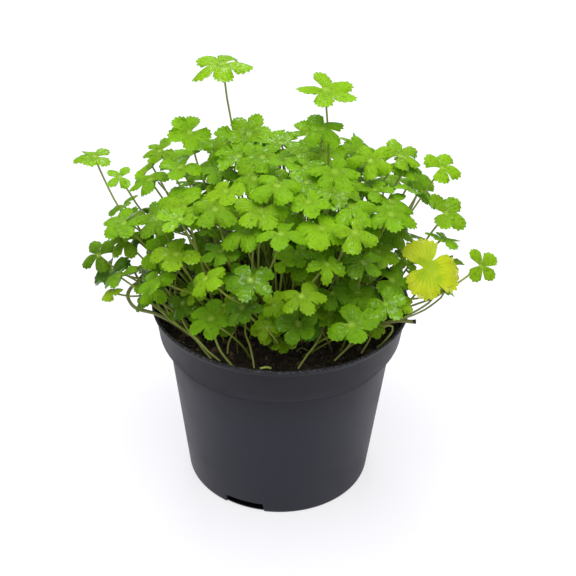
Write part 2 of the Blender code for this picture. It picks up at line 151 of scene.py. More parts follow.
class Graph:
    """A node tree that is written as calls."""

    def __init__(self, tree: bpy.types.NodeTree) -> None:
        """Starts from an empty tree."""
        self.tree = tree
        tree.nodes.clear()

    def node(self, kind: str, settings: Optional[dict] = None,
             inputs: Optional[dict] = None) -> bpy.types.Node:
        """Adds a node.

        Args:
            kind: The node's type.
            settings: Its own settings, which are set first.
            inputs: A value, a wire or a socket for each of its inputs, by name or identifier.

        Returns:
            The node.
        """
        made = self.tree.nodes.new(kind)
        for name, value in (settings or {}).items():
            setattr(made, name, value)
        for name, value in (inputs or {}).items():
            self.feed(socket_named(made.inputs, name), value)
        return made

    def feed(self, socket: bpy.types.NodeSocket, value: Any) -> None:
        """Gives an input its link or its value.

        Args:
            socket: The input.
            value: A wire, a socket, a colour or any other value.
        """
        if isinstance(value, Wire):
            self.tree.links.new(value.socket, socket)
        elif isinstance(value, bpy.types.NodeSocket):
            self.tree.links.new(value, socket)
        elif socket.type == "RGBA" and len(value) == 3:
            socket.default_value = (*value, 1.0)
        else:
            socket.default_value = value

    def out(self, kind: str, settings: Optional[dict] = None, inputs: Optional[dict] = None,
            output: Optional[str] = None) -> Wire:
        """Adds a node and returns one of its outputs.

        Args:
            kind: The node's type.
            settings: As in node().
            inputs: As in node().
            output: The output's name, or none for the first one.

        Returns:
            The output.
        """
        made = self.node(kind, settings, inputs)
        return Wire(self, socket_named(made.outputs, output) if output else
                    next(socket for socket in made.outputs if socket.enabled))

    def maths(self, operation: str, *values: Number) -> Wire:
        """Adds a Math node.

        Args:
            operation: The node's operation.
            values: Its values, in order.

        Returns:
            The result.
        """
        made = self.node("ShaderNodeMath", {"operation": operation})
        for socket, value in zip(made.inputs, values):
            self.feed(socket, value)
        return Wire(self, made.outputs[0])

    def vector(self, operation: str, *values: Any, output: str = "Vector") -> Wire:
        """Adds a Vector Math node.

        Args:
            operation: The node's operation.
            values: Its vectors, in order. A last plain number or number wire goes to Scale.
            output: Vector, or Value for an operation that gives a number.

        Returns:
            The result.
        """
        made = self.node("ShaderNodeVectorMath", {"operation": operation})
        if operation == "SCALE":
            self.feed(made.inputs[0], values[0])
            self.feed(socket_named(made.inputs, "Scale"), values[1])
        else:
            for socket, value in zip(made.inputs, values):
                self.feed(socket, value)
        return Wire(self, socket_named(made.outputs, output))


class Recipe(Graph):
    """The nodes of one finish."""

    def __init__(self, name: str) -> None:
        """Starts an empty material.

        Args:
            name: The material's name.
        """
        self.material = bpy.data.materials.new(name)
        self.material.use_nodes = True
        super().__init__(self.material.node_tree)
        self.place = self.out("ShaderNodeTexCoord", output="Object")

    def blend(self, first: Any, second: Any, share: Number) -> Wire:
        """Mixes two colours.

        Args:
            first: The colour where share is 0.
            second: The colour where share is 1.
            share: How much of the second one shows.

        Returns:
            The mixed colour.
        """
        return self.out("ShaderNodeMix", {"data_type": "RGBA"},
                        {"Factor_Float": share, "A_Color": first, "B_Color": second}, "Result_Color")

    def cloud(self, size: float, detail: float = 3.0, roughness: float = 0.55,
              stretch: Triple = (1, 1, 1)) -> Wire:
        """Soft noise.

        Args:
            size: The width of its largest patches, in metres.
            detail: How many finer layers it has.
            roughness: How strong the finer layers are.
            stretch: How much wider the patches are along each axis.

        Returns:
            A number from 0 to 1, mostly about 0.5.
        """
        spot = self.vector("DIVIDE", self.place, tuple(size * share for share in stretch))
        return self.out("ShaderNodeTexNoise", {}, {"Vector": spot, "Scale": 1.0, "Detail": detail,
                                                   "Roughness": roughness})

    def cells(self, size: float) -> Wire:
        """The distance, in cells, to the nearest of points that lie about size apart."""
        spot = self.vector("SCALE", self.place, 1.0 / size)
        return self.out("ShaderNodeTexVoronoi", {}, {"Vector": spot, "Scale": 1.0})

    def note(self, name: str) -> tuple[Wire, Wire, Wire]:
        """Reads the three numbers of one of the mesh's own attributes.

        Args:
            name: The attribute's name.

        Returns:
            The numbers, one wire each.
        """
        read = self.out("ShaderNodeAttribute", {"attribute_name": name}, output="Vector")
        split = self.node("ShaderNodeSeparateXYZ", {}, {"Vector": read})
        return tuple(Wire(self, socket) for socket in split.outputs)

    def bump(self, height: Wire, depth: float) -> Wire:
        """A normal for relief of that depth, in metres."""
        return self.out("ShaderNodeBump", {}, {"Height": height, "Distance": depth, "Strength": 1.0})

    def principled(self, **sockets: Any) -> Wire:
        """Adds the shader.

        Args:
            sockets: Its inputs. Each name is the socket's, in lower case and with _ for a space.

        Returns:
            The shader's output.
        """
        made = self.node("ShaderNodeBsdfPrincipled")
        for name, value in sockets.items():
            self.feed(socket_named(made.inputs, name.replace("_", " ").title().replace("Ior", "IOR")), value)
        return Wire(self, made.outputs[0])

    def mixed(self, first: Wire, second: Wire, share: Number) -> Wire:
        """Mixes two shaders.

        Args:
            first: The shader where share is 0.
            second: The shader where share is 1.
            share: How much of the second one shows.

        Returns:
            The mixed shader.
        """
        made = self.node("ShaderNodeMixShader", {}, {"Fac": share})
        self.feed(made.inputs[1], first)
        self.feed(made.inputs[2], second)
        return Wire(self, made.outputs[0])

    def finish(self, surface: Wire) -> bpy.types.Material:
        """Joins a shader to the output and returns the material."""
        self.node("ShaderNodeOutputMaterial", {}, {"Surface": surface})
        return self.material


class Growth(Graph):
    """A tree of Geometry Nodes with named sizes, which is run on a guide mesh."""

    def __init__(self, name: str) -> None:
        """Starts a tree that takes a guide and a material.

        Args:
            name: The tree's name.
        """
        super().__init__(bpy.data.node_groups.new(name, "GeometryNodeTree"))
        self.keys: dict[str, str] = {}
        self.source = self.tree.nodes.new("NodeGroupInput")
        self.guide = self.size("Guide", "NodeSocketGeometry")
        self.material = self.size("Material", "NodeSocketMaterial")

    def size(self, name: str, kind: str = "NodeSocketFloat") -> Wire:
        """Adds a named input.

        Args:
            name: The input's name.
            kind: Its socket type.

        Returns:
            The input, for use inside the tree.
        """
        item = self.tree.interface.new_socket(name=name, in_out="INPUT", socket_type=kind)
        self.keys[name] = item.identifier
        return Wire(self, socket_named(self.source.outputs, item.identifier))

    def end(self, shape: Wire) -> None:
        """Realizes the shape, gives it its material and makes it the tree's result.

        Args:
            shape: What the tree makes.
        """
        self.tree.interface.new_socket(name="Shape", in_out="OUTPUT", socket_type="NodeSocketGeometry")
        real = self.out("GeometryNodeRealizeInstances", {}, {"Geometry": shape})
        dressed = self.out("GeometryNodeSetMaterial", {}, {"Geometry": real, "Material": self.material})
        self.node("NodeGroupOutput", {}, {"Shape": dressed})

    def grow(self, name: str, guide: bpy.types.Mesh, material: bpy.types.Material,
             sizes: dict[str, float]) -> bpy.types.Object:
        """Runs the tree and keeps its result as a plain mesh.

        Args:
            name: The piece's name.
            guide: The mesh that it grows on.
            material: Its finish.
            sizes: A value for each named input.

        Returns:
            The piece, at the origin.
        """
        host = add_piece(name + "_guide", guide)
        modifier = host.modifiers.new("growth", "NODES")
        modifier.node_group = self.tree
        modifier[self.keys["Material"]] = material
        for key, value in sizes.items():
            modifier[self.keys[key]] = value
        graph = bpy.context.evaluated_depsgraph_get()
        mesh = bpy.data.meshes.new_from_object(host.evaluated_get(graph))
        mesh.name = name
        bpy.data.objects.remove(host)
        return add_piece(name, mesh)


def add_piece(name: str, mesh: bpy.types.Mesh, *materials: bpy.types.Material) -> bpy.types.Object:
    """Puts a mesh in the scene.

    Args:
        name: The object's name.
        mesh: Its mesh, in place.
        materials: Materials to add to the mesh.

    Returns:
        The object, at the origin.
    """
    for material in materials:
        mesh.materials.append(material)
    made = bpy.data.objects.new(name, mesh)
    bpy.context.scene.collection.objects.link(made)
    return made


def join(pieces: Sequence[bpy.types.Object]) -> bpy.types.Object:
    """Joins pieces into the first of them.

    Args:
        pieces: The pieces, in order.

    Returns:
        The joined piece, under the first one's name.
    """
    with bpy.context.temp_override(active_object=pieces[0], object=pieces[0], selected_objects=list(pieces),
                                   selected_editable_objects=list(pieces)):
        bpy.ops.object.join()
    return pieces[0]


def middle_of(ring: set[bmesh.types.BMVert]) -> Vector:
    """The middle of a ring of vertices, which are added up in one order so that every run gives the same."""
    return sum(sorted((vert.co for vert in ring), key=tuple), Vector()) / len(ring)


def hand_over(piece: bpy.types.Object, slot: str, *nodes: str) -> None:
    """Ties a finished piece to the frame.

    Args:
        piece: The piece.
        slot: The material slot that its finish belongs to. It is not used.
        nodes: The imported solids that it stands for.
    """
    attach(piece, "root")
    if nodes:
        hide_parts(*nodes)
    log.info("%s: %d faces", piece.name, len(piece.data.polygons))


# ---------------------------------------------------------------------------------------- finishes

class LeafSide(Enum):
    """The two sides of a blade."""

    TOP = "top"
    UNDER = "under"


@dataclass(frozen=True)
class LeafFinish:
    """A living blade: its colours, veins, wet film and the light that comes through it.

    It has painted shade on the low leaves and in the dips of its relief, and painted glints where it is wet.
    """

    name: str = "leaf"
    bright: Colour = (0.328, 0.650, 0.011)
    deep_and_shaded: Colour = (0.036, 0.135, 0.001)
    fresh: Colour = (0.500, 0.800, 0.012)
    vein: Colour = (0.560, 0.760, 0.110)
    under: Colour = (0.240, 0.400, 0.070)
    glow: Colour = (0.460, 0.860, 0.008)
    through: float = 0.34
    dimming: float = 0.75
    painted_glint: Colour = (0.60, 0.78, 0.45)
    shade: Colour = (0.060, 0.200, 0.002)
    patch_size: float = 6 * MM
    quilt_size: float = 1.6 * MM
    grain_size: float = 0.5 * MM
    film_size: float = 1.7 * MM
    painted_glint_size: float = 0.75 * MM
    relief_depth: float = 0.70 * MM

    def make(self, side: LeafSide) -> bpy.types.Material:
        """Makes the material of one side.

        Args:
            side: Top or underside.

        Returns:
            The material.
        """
        recipe = Recipe(f"{self.name}_{side.value}")
        tint_and_shade, fresh, wet = recipe.note("growth")
        across, along, _ = recipe.note("veins")
        patches = recipe.cloud(self.patch_size)
        quilt = recipe.cloud(self.quilt_size, 1.0)
        grain = recipe.cloud(self.grain_size, 2.0)
        side_vein = abs(across.part() - 0.5) * (along + 0.15)
        ribs = 1.0 - side_vein.softly(0.015, 0.075)
        ribs = ribs * (1.0 - along * 0.75) * along.softly(0.06, 0.20)
        centre = 1.0 - along.softly(0.05, 0.24)
        # The darker green is partly random tone and partly painted shade on the low leaves.
        green = recipe.blend(self.bright, self.deep_and_shaded, (tint_and_shade + (patches - 0.5) * 0.9).within(-0.1, 1.1))
        green = recipe.blend(green, self.fresh, fresh)
        if side is LeafSide.TOP:
            # Painted shade in the dips of the quilted relief.
            dips = (quilt + (grain - 0.5) * 0.4).softly(0.46, 0.20)
            green = recipe.blend(green, self.shade, dips * 0.60)
            green = recipe.blend(green, self.vein, ribs * 0.38 + centre * 0.40)
            film = (recipe.cloud(self.film_size, 2.0) + wet * 0.14).softly(0.63, 0.75)
            # Painted glints: pale spots in the colour where the film is wet, beside the coat's real gloss.
            painted_glints = (1.0 - recipe.cells(self.painted_glint_size).softly(0.12, 0.30)) * film * wet
            green = recipe.blend(green, self.painted_glint, painted_glints * 0.28)
            rough = 0.46 - film * 0.30 + (grain - 0.5) * 0.12
            coat = film
        else:
            green = recipe.blend(green, self.under, 0.75)
            green = recipe.blend(green, self.vein, ribs * 0.45 + centre * 0.3)
            rough = 0.62 + (grain - 0.5) * 0.1
            coat = 0.0
        relief = ribs * (0.3 if side is LeafSide.UNDER else -0.3) + grain * 0.12 + quilt * 1.0
        face = recipe.principled(base_color=green, roughness=rough, coat_weight=coat, coat_roughness=0.08,
                                 specular_ior_level=0.13, normal=recipe.bump(relief, self.relief_depth))
        glow = recipe.out("ShaderNodeBsdfTranslucent", {}, {"Color": self.glow})
        # Painted shade: the low leaves also let less light through.
        dimmed = tint_and_shade.within(0.0, 1.0) * self.through * self.dimming
        return recipe.finish(recipe.mixed(face, glow, self.through - dimmed))


@dataclass(frozen=True)
class AgeingLeafFinish:
    """The yellow blade: green at the veins, pale at the margin, with small rusty spots there."""

    gold: Colour = (0.72, 0.84, 0.016)
    green: Colour = (0.44, 0.68, 0.006)
    pale: Colour = (0.96, 0.96, 0.30)
    rust: Colour = (0.24, 0.20, 0.01)
    glow: Colour = (0.80, 0.85, 0.02)
    through: float = 0.30

    def make(self, side: LeafSide) -> bpy.types.Material:
        """Makes the material of one side.

        Args:
            side: Top or underside.

        Returns:
            The material.
        """
        recipe = Recipe(f"yellow_leaf_{side.value}")
        across, along, _ = recipe.note("veins")
        patches = recipe.cloud(5 * MM)
        grain = recipe.cloud(0.6 * MM, 2.0)
        side_vein = abs(across.part() - 0.5) * (along + 0.15)
        ribs = (1.0 - side_vein.softly(0.02, 0.10)) * (1.0 - along * 0.6) * along.softly(0.06, 0.20)
        fade = along * 0.62 + 0.16 + (patches - 0.5) * 1.3 + (grain - 0.5) * 0.35
        colour = recipe.blend(self.green, self.gold, fade.softly(0.15, 0.62))
        colour = recipe.blend(colour, self.pale, fade.softly(0.66, 0.98) * 0.85)
        colour = recipe.blend(colour, self.green, ribs * 0.35)
        margin = (along + patches * 0.4).softly(0.80, 1.05)
        spots = (1.0 - recipe.cells(0.9 * MM).softly(0.18, 0.34)) * margin
        colour = recipe.blend(colour, self.rust, spots * 0.9)
        if side is LeafSide.UNDER:
            colour = recipe.blend(colour, self.pale, 0.4)
        relief = grain * 0.4 + patches * 0.4 - ribs * 0.6
        face = recipe.principled(base_color=colour, roughness=0.5 + (grain - 0.5) * 0.15,
                                 specular_ior_level=0.35, normal=recipe.bump(relief, 0.12 * MM))
        glow = recipe.out("ShaderNodeBsdfTranslucent", {}, {"Color": self.glow})
        return recipe.finish(recipe.mixed(face, glow, self.through))


@dataclass(frozen=True)
class StalkFinish:
    """A leaf stalk or creeping stem, from its rooted foot to its tip."""

    name: str = "stalk"
    # Painted shade: these default colours are darkened for stalks inside the foliage, the middle most.
    foot: Colour = (0.33, 0.38, 0.050)
    middle: Colour = (0.22, 0.30, 0.028)
    tip: Colour = (0.42, 0.50, 0.06)
    roughness: float = 0.42
    turn: tuple[float, float] = (0.35, 0.85)

    def make(self) -> bpy.types.Material:
        """Makes the finish.

        Returns:
            The material.
        """
        recipe = Recipe(self.name)
        along, _, _ = recipe.note("along")
        streaks = recipe.cloud(1.2 * MM, 3.0, stretch=(1, 1, 6))
        rise = along + (streaks - 0.5) * 0.25
        colour = recipe.blend(self.foot, self.middle, rise.softly(0.0, 0.35))
        colour = recipe.blend(colour, self.tip, rise.softly(*self.turn))
        face = recipe.principled(base_color=colour, roughness=self.roughness + (streaks - 0.5) * 0.2,
                                 normal=recipe.bump(streaks, 0.08 * MM))
        return recipe.finish(face)


@dataclass(frozen=True)
class PotFinish:
    """Moulded black plastic with faint marks of the mould, dust and scuffs.

    It is darker towards the rim with painted shade for the foliage's shadow, dull and lighter with painted
    light in the hollow under the collar, and lighter on the lip, with bits of dust over a painted highlight.
    """

    base: Colour = (0.0285, 0.029, 0.045)
    # Dust; on the lip the same colour also makes a painted highlight.
    dust: Colour = (0.13, 0.13, 0.14)
    # Painted shade towards the rim.
    upper: Colour = (0.004, 0.004, 0.009)
    # Painted light for the hollow under the collar.
    hollow: Colour = (0.050, 0.050, 0.060)
    painted_shade_heights: tuple[float, float] = (48 * MM, 86 * MM)
    hollow_height: float = 74.0 * MM
    hollow_reach: tuple[float, float] = (1.5 * MM, 5.0 * MM)
    lip: tuple[float, float] = (92.3 * MM, 93.3 * MM)

    def make(self) -> bpy.types.Material:
        """Makes the finish.

        Returns:
            The material.
        """
        recipe = Recipe("pot_plastic")
        broad = recipe.cloud(28 * MM, 4.0)
        fine = recipe.cloud(0.35 * MM, 2.0)
        scratches = recipe.cloud(2.2 * MM, 3.0, 0.6, (9, 9, 1)).softly(0.68, 0.80)
        wear = broad.softly(0.45, 0.75)
        colour = recipe.blend(self.base, self.dust, wear * 0.10 + scratches * wear * 0.25)
        flecks = (1.0 - recipe.cells(7 * MM).softly(0.025, 0.06)) * recipe.cloud(15 * MM).softly(0.5, 0.7)
        colour = recipe.blend(colour, self.dust, flecks * 0.5)
        height = recipe.out("ShaderNodeSeparateXYZ", {}, {"Vector": recipe.place}, "Z")
        # Painted shade: darker towards the rim, for the foliage's shadow.
        colour = recipe.blend(colour, self.upper, height.softly(*self.painted_shade_heights) * 0.85)
        # Painted light: the dull hollow under the collar is drawn lighter, so its shade barely shows.
        dull = 1.0 - abs(height - self.hollow_height).softly(*self.hollow_reach)
        colour = recipe.blend(colour, self.hollow, dull * 0.8)
        # Bits of dust on the lip, over a painted highlight line.
        crumbs = recipe.cloud(1.2 * MM, 3.0).softly(0.45, 0.62) * 0.6 + 0.2
        colour = recipe.blend(colour, self.dust, height.softly(*self.lip) * crumbs)
        rough = 0.46 + wear * 0.12 + (fine - 0.5) * 0.1 + scratches * 0.08 + dull * 0.35
        face = recipe.principled(base_color=colour, roughness=rough, specular_ior_level=0.28,
                                 normal=recipe.bump(fine * 0.5 + broad * 2.0 + scratches * 0.3, 0.06 * MM))
        return recipe.finish(face)


@dataclass(frozen=True)
class PeatFinish:
    """Damp peat: dark crumbs, browner bits and tiny glints of water."""

    name: str = "peat"
    dark: Colour = (0.024, 0.017, 0.012)
    brown: Colour = (0.118, 0.076, 0.050)
    damp: float = 0.5

    def make(self) -> bpy.types.Material:
        """Makes the finish.

        Returns:
            The material.
        """
        recipe = Recipe(self.name)
        lumps = recipe.cloud(4 * MM, 5.0, 0.65)
        grain = recipe.cloud(0.6 * MM, 3.0, 0.6)
        colour = recipe.blend(self.dark, self.brown, (lumps * 0.7 + grain * 0.4).softly(0.45, 0.78))
        wet = recipe.cloud(1.1 * MM, 2.0).softly(0.55, 0.72)
        face = recipe.principled(base_color=colour, roughness=0.92 - wet * 0.35, coat_weight=wet * self.damp,
                                 coat_roughness=0.25, normal=recipe.bump(grain + lumps, 0.5 * MM))
        return recipe.finish(face)


@dataclass(frozen=True)
class PlainFinish:
    """A small hard thing of one mottled colour, such as a grain, a bit of bark or a bead of water."""

    name: str
    colour: Colour
    other: Colour
    roughness: float = 0.8
    coat: float = 0.0

    def make(self) -> bpy.types.Material:
        """Makes the finish.

        Returns:
            The material.
        """
        recipe = Recipe(self.name)
        mottle = recipe.cloud(1.5 * MM, 3.0)
        colour = recipe.blend(self.colour, self.other, mottle.softly(0.35, 0.65))
        face = recipe.principled(base_color=colour, roughness=self.roughness + (mottle - 0.5) * 0.1,
                                 coat_weight=self.coat, coat_roughness=0.05,
                                 normal=recipe.bump(mottle, 0.05 * MM))
        return recipe.finish(face)


# ------------------------------------------------------------------------------- reading the frame

@dataclass
class LobePlan:
    """One lobe of a blade: its direction, its length and how far its two shoulders rise."""

    middle: float
    length: float
    rise_right: float
    rise_left: float


@dataclass
class BladePlan:
    """A blade: the place and the three directions of its middle, and its lobes in order."""

    hub: Vector
    up: Vector
    ahead: Vector
    lobes: list[LobePlan]

    @property
    def left(self) -> Vector:
        """The direction to the left of the blade's tip, seen from above."""
        return self.up.cross(self.ahead)

    @property
    def reach(self) -> float:
        """The length of the longest lobe."""
        return max(lobe.length for lobe in self.lobes)


@dataclass
class ShootPlan:
    """A stalk's route, from the knob up to the blade, and the blade on it."""

    route: list[Vector]
    blade: BladePlan


@dataclass
class TuftPlan:
    """A tuft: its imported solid's name, its knob and its shoots."""

    name: str
    knob: Vector
    shoots: list[ShootPlan]


class TuftReader:
    """Finds the knob, the stalks and the blades in one packed tuft.

    A packed blade is a fan about the middle of its upper side. Its rim dips towards that middle between
    two lobes. Its stalk is a tube of rings, and ends where a ring touches the knob.
    """

    HUB_EDGES = 11
    HUB_CLEARANCE = 1.6 * MM
    KNOB_REACH = 2.205 * MM
    KNOB_DEPTH = 1.575 * MM
    SINUS_SHARE = 0.6
    SHOULDER_SHARE = 0.95

    def __init__(self, solid: bpy.types.Object) -> None:
        """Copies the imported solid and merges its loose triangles.

        Args:
            solid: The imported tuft.
        """
        self.name = solid.name
        self.form = bmesh.new()
        self.form.from_mesh(solid.data)
        bmesh.ops.remove_doubles(self.form, verts=self.form.verts, dist=MERGE)
        lowest = min((vert.co for vert in self.form.verts), key=lambda place: place.z)
        self.knob = lowest + Vector((0, 0, self.KNOB_DEPTH))

    @staticmethod
    def around(vert: bmesh.types.BMVert) -> set[bmesh.types.BMVert]:
        """The vertices that share an edge with this one."""
        return {edge.other_vert(vert) for edge in vert.link_edges}

    def is_hub(self, vert: bmesh.types.BMVert) -> bool:
        """True for the middle of a blade's upper side."""
        edges = vert.link_edges
        return len(edges) > self.HUB_EDGES and min(edge.calc_length() for edge in edges) > self.HUB_CLEARANCE

    def rim(self, hub: bmesh.types.BMVert) -> list[bmesh.types.BMVert]:
        """Follows a blade's rim.

        Args:
            hub: The middle of the blade's upper side.

        Returns:
            The rim, anticlockwise from above.
        """
        after = {loop.link_loop_next.vert: loop.link_loop_prev.vert for loop in hub.link_loops}
        here = next(iter(after))
        ring = []
        while here not in ring:
            ring.append(here)
            here = after[here]
        return ring

    def route(self, hub: bmesh.types.BMVert, rim: list[bmesh.types.BMVert]) -> list[Vector]:
        """Follows the stalk's rings down to the knob.

        Args:
            hub: The blade's middle.
            rim: The blade's rim.

        Returns:
            The middles of the rings, from the knob up.
        """
        seen = {hub, *rim}
        ring = set().union(*(self.around(vert) for vert in rim)) - seen
        middles = []
        while ring:
            middles.append(middle_of(ring))
            if any((vert.co - self.knob).length < self.KNOB_REACH for vert in ring):
                break
            seen |= ring
            ring = set().union(*(self.around(vert) for vert in ring)) - seen
        return middles[::-1]

    def blade(self, hub: Vector, below: Vector, rim: list[Vector]) -> BladePlan:
        """Works out a blade's frame and its lobes.

        Args:
            hub: The middle of its upper side.
            below: The middle of its underside.
            rim: Its rim, anticlockwise from above.

        Returns:
            The blade's plan.
        """
        up = (hub - below).normalized()
        middle = (hub + below) / 2
        arms = [place - middle for place in rim]
        flat = [arm - up * arm.dot(up) for arm in arms]
        base = min(range(len(flat)), key=lambda k: flat[k].length)
        ahead = -flat[base].normalized()
        left = up.cross(ahead)
        reach = max(arm.length for arm in flat)
        lobes, run = [], []
        for k in range(base + 1, base + len(flat) + 1):
            arm, level = arms[k % len(arms)], flat[k % len(arms)]
            if level.length < self.SINUS_SHARE * reach:
                lobes.append(self.lobe(run))
                run = []
            else:
                run.append((math.atan2(level.dot(left), level.dot(ahead)), level.length, arm.dot(up)))
        return BladePlan(middle, up, ahead, lobes)

    def lobe(self, run: list[tuple[float, float, float]]) -> LobePlan:
        """Works out one lobe.

        Args:
            run: The (angle, distance, rise) of each of its rim points, in order.

        Returns:
            The lobe's plan.
        """
        share = 1.0 if len(run) > 2 else self.SHOULDER_SHARE
        return LobePlan((run[0][0] + run[-1][0]) / 2, max(point[1] for point in run) / share,
                        run[0][2], run[-1][2])

    def read(self) -> TuftPlan:
        """Reads the whole tuft.

        Returns:
            The tuft's plan.
        """
        shoots = []
        for hub in (vert for vert in self.form.verts if self.is_hub(vert)):
            rim = self.rim(hub)
            route = self.route(hub, rim)
            blade = self.blade(hub.co.copy(), route[-1], [vert.co.copy() for vert in rim])
            shoots.append(ShootPlan(route, blade))
        shoots.sort(key=lambda shoot: tuple(round(c, 4) for c in shoot.blade.hub))
        knob = self.knob.copy()
        self.form.free()
        return TuftPlan(self.name, knob, shoots)


# ------------------------------------------------------------------------------------------ blades

@dataclass(frozen=True)
class Habit:
    """How one blade is grown and held: the numbers that make it differ from the others."""

    teeth: int
    web: float
    gap: float
    waist: float
    belly: float
    tooth_depth: float
    funnel: float
    droop: float
    cups: tuple[float, ...]
    tilts: tuple[float, ...]
    twists: tuple[float, ...]
    wave: float
    phase: float
    tint_and_shade: float
    fresh: float
    wet: float


class BladeNet:
    """The columns and rows that a blade is drawn on, for one number of lobes and teeth.

    Columns run from the stalk to the margin, with TOOTH_COLUMNS to a tooth. They meet in the web round
    the stalk, where rings join them and drop every second one. Rows run across each lobe.
    """

    TOOTH_COLUMNS = 3
    ROWS = 5
    FEWEST_GAP_COLUMNS = 3
    RINGS = ((1, 1.0), (2, 0.62), (4, 0.30))

    def __init__(self, lobes: int, teeth: int) -> None:
        """Numbers the points and lists the faces.

        Args:
            lobes: How many lobes the blade has.
            teeth: How many teeth each of them has.
        """
        self.lobes, self.teeth = lobes, teeth
        self.columns = teeth * self.TOOTH_COLUMNS
        least = lobes * self.columns + self.FEWEST_GAP_COLUMNS
        self.around = least + -least % self.RINGS[-1][0]
        self.gap_columns = self.around - lobes * self.columns
        self.points: list[tuple[int, float, float, float, float, float]] = []
        self.faces: list[tuple[int, ...]] = []
        self.margin: set[int] = set()
        rings = [self.add_ring(step, share) for step, share in self.RINGS]
        for outer, inner in zip(rings, rings[1:]):
            self.weave(outer, inner)
        hub = self.add_point(0, 0.0, 0.0, 0.0, -1.0, -1.0)
        last = rings[-1]
        for k, here in enumerate(last):
            self.faces.append((hub, here, last[(k + 1) % len(last)]))
        for lobe in range(lobes):
            self.add_lobe(lobe, rings[0])
        self.margin.update(rings[0][lobe * self.columns] for lobe in range(lobes + 1))
        self.margin.update(rings[0][lobes * self.columns:])
        self.lobe, self.side, self.row, self.ring, self.gap, self.column = (
            np.array(values) for values in zip(*self.points))

    def add_point(self, lobe: int, side: float, row: float, ring: float, gap: float, column: float) -> int:
        """Adds one point.

        Args:
            lobe: Its lobe.
            side: Its place across the lobe, from -1 to 1.
            row: 0 in the web, up to 1 at the margin.
            ring: Its share of the web's radius.
            gap: Its place across the gap at the stalk, from 0 to 1, or -1 elsewhere.
            column: Its column, in teeth, or -1 at the hub.

        Returns:
            Its number.
        """
        self.points.append((lobe, side, row, ring, gap, column))
        return len(self.points) - 1

    def add_ring(self, step: int, share: float) -> list[int]:
        """Adds a ring of the web.

        Args:
            step: Keeps one column in so many.
            share: Its share of the web's radius.

        Returns:
            The ring's points, anticlockwise.
        """
        ring = []
        last = self.lobes * self.columns
        for k in range(0, self.around, step):
            lobe = min(k // self.columns, self.lobes - 1)
            side = 2 * (min(k, last) - lobe * self.columns) / self.columns - 1
            gap = (k - last) / self.gap_columns if k > last else -1.0
            ring.append(self.add_point(lobe, side, 0.0, share, gap, k / self.TOOTH_COLUMNS))
        return ring

    def weave(self, outer: list[int], inner: list[int]) -> None:
        """Joins a ring to one with half as many points.

        Args:
            outer: The ring with more points.
            inner: The ring inside it.
        """
        for k, here in enumerate(inner):
            after = inner[(k + 1) % len(inner)]
            a, b, c = (outer[(2 * k + step) % len(outer)] for step in range(3))
            self.faces += [(here, a, b), (here, b, after), (after, b, c)]

    def add_lobe(self, lobe: int, web: list[int]) -> None:
        """Adds the rows of one lobe outside the web.

        Args:
            lobe: The lobe's number.
            web: The web's outer ring.
        """
        below = [web[(lobe * self.columns + k) % len(web)] for k in range(self.columns + 1)]
        for row in range(1, self.ROWS + 1):
            above = [self.add_point(lobe, 2 * k / self.columns - 1, row / self.ROWS, 1.0, -1.0,
                                    lobe * self.teeth + k / self.TOOTH_COLUMNS)
                     for k in range(self.columns + 1)]
            for k in range(self.columns):
                self.faces.append((below[k], above[k], above[k + 1], below[k + 1]))
            self.margin.update((above[0], above[-1]))
            below = above
        self.margin.update(below)


@dataclass
class Patch:
    """Points, faces and notes of one or more blades, before they are a mesh.

    A face's side is 0 for the upper side and 1 for the underside.
    """

    points: list[np.ndarray] = field(default_factory=list)
    faces: list[tuple[int, ...]] = field(default_factory=list)
    sides: list[int] = field(default_factory=list)
    growth: list[np.ndarray] = field(default_factory=list)
    veins: list[np.ndarray] = field(default_factory=list)
    count: int = 0


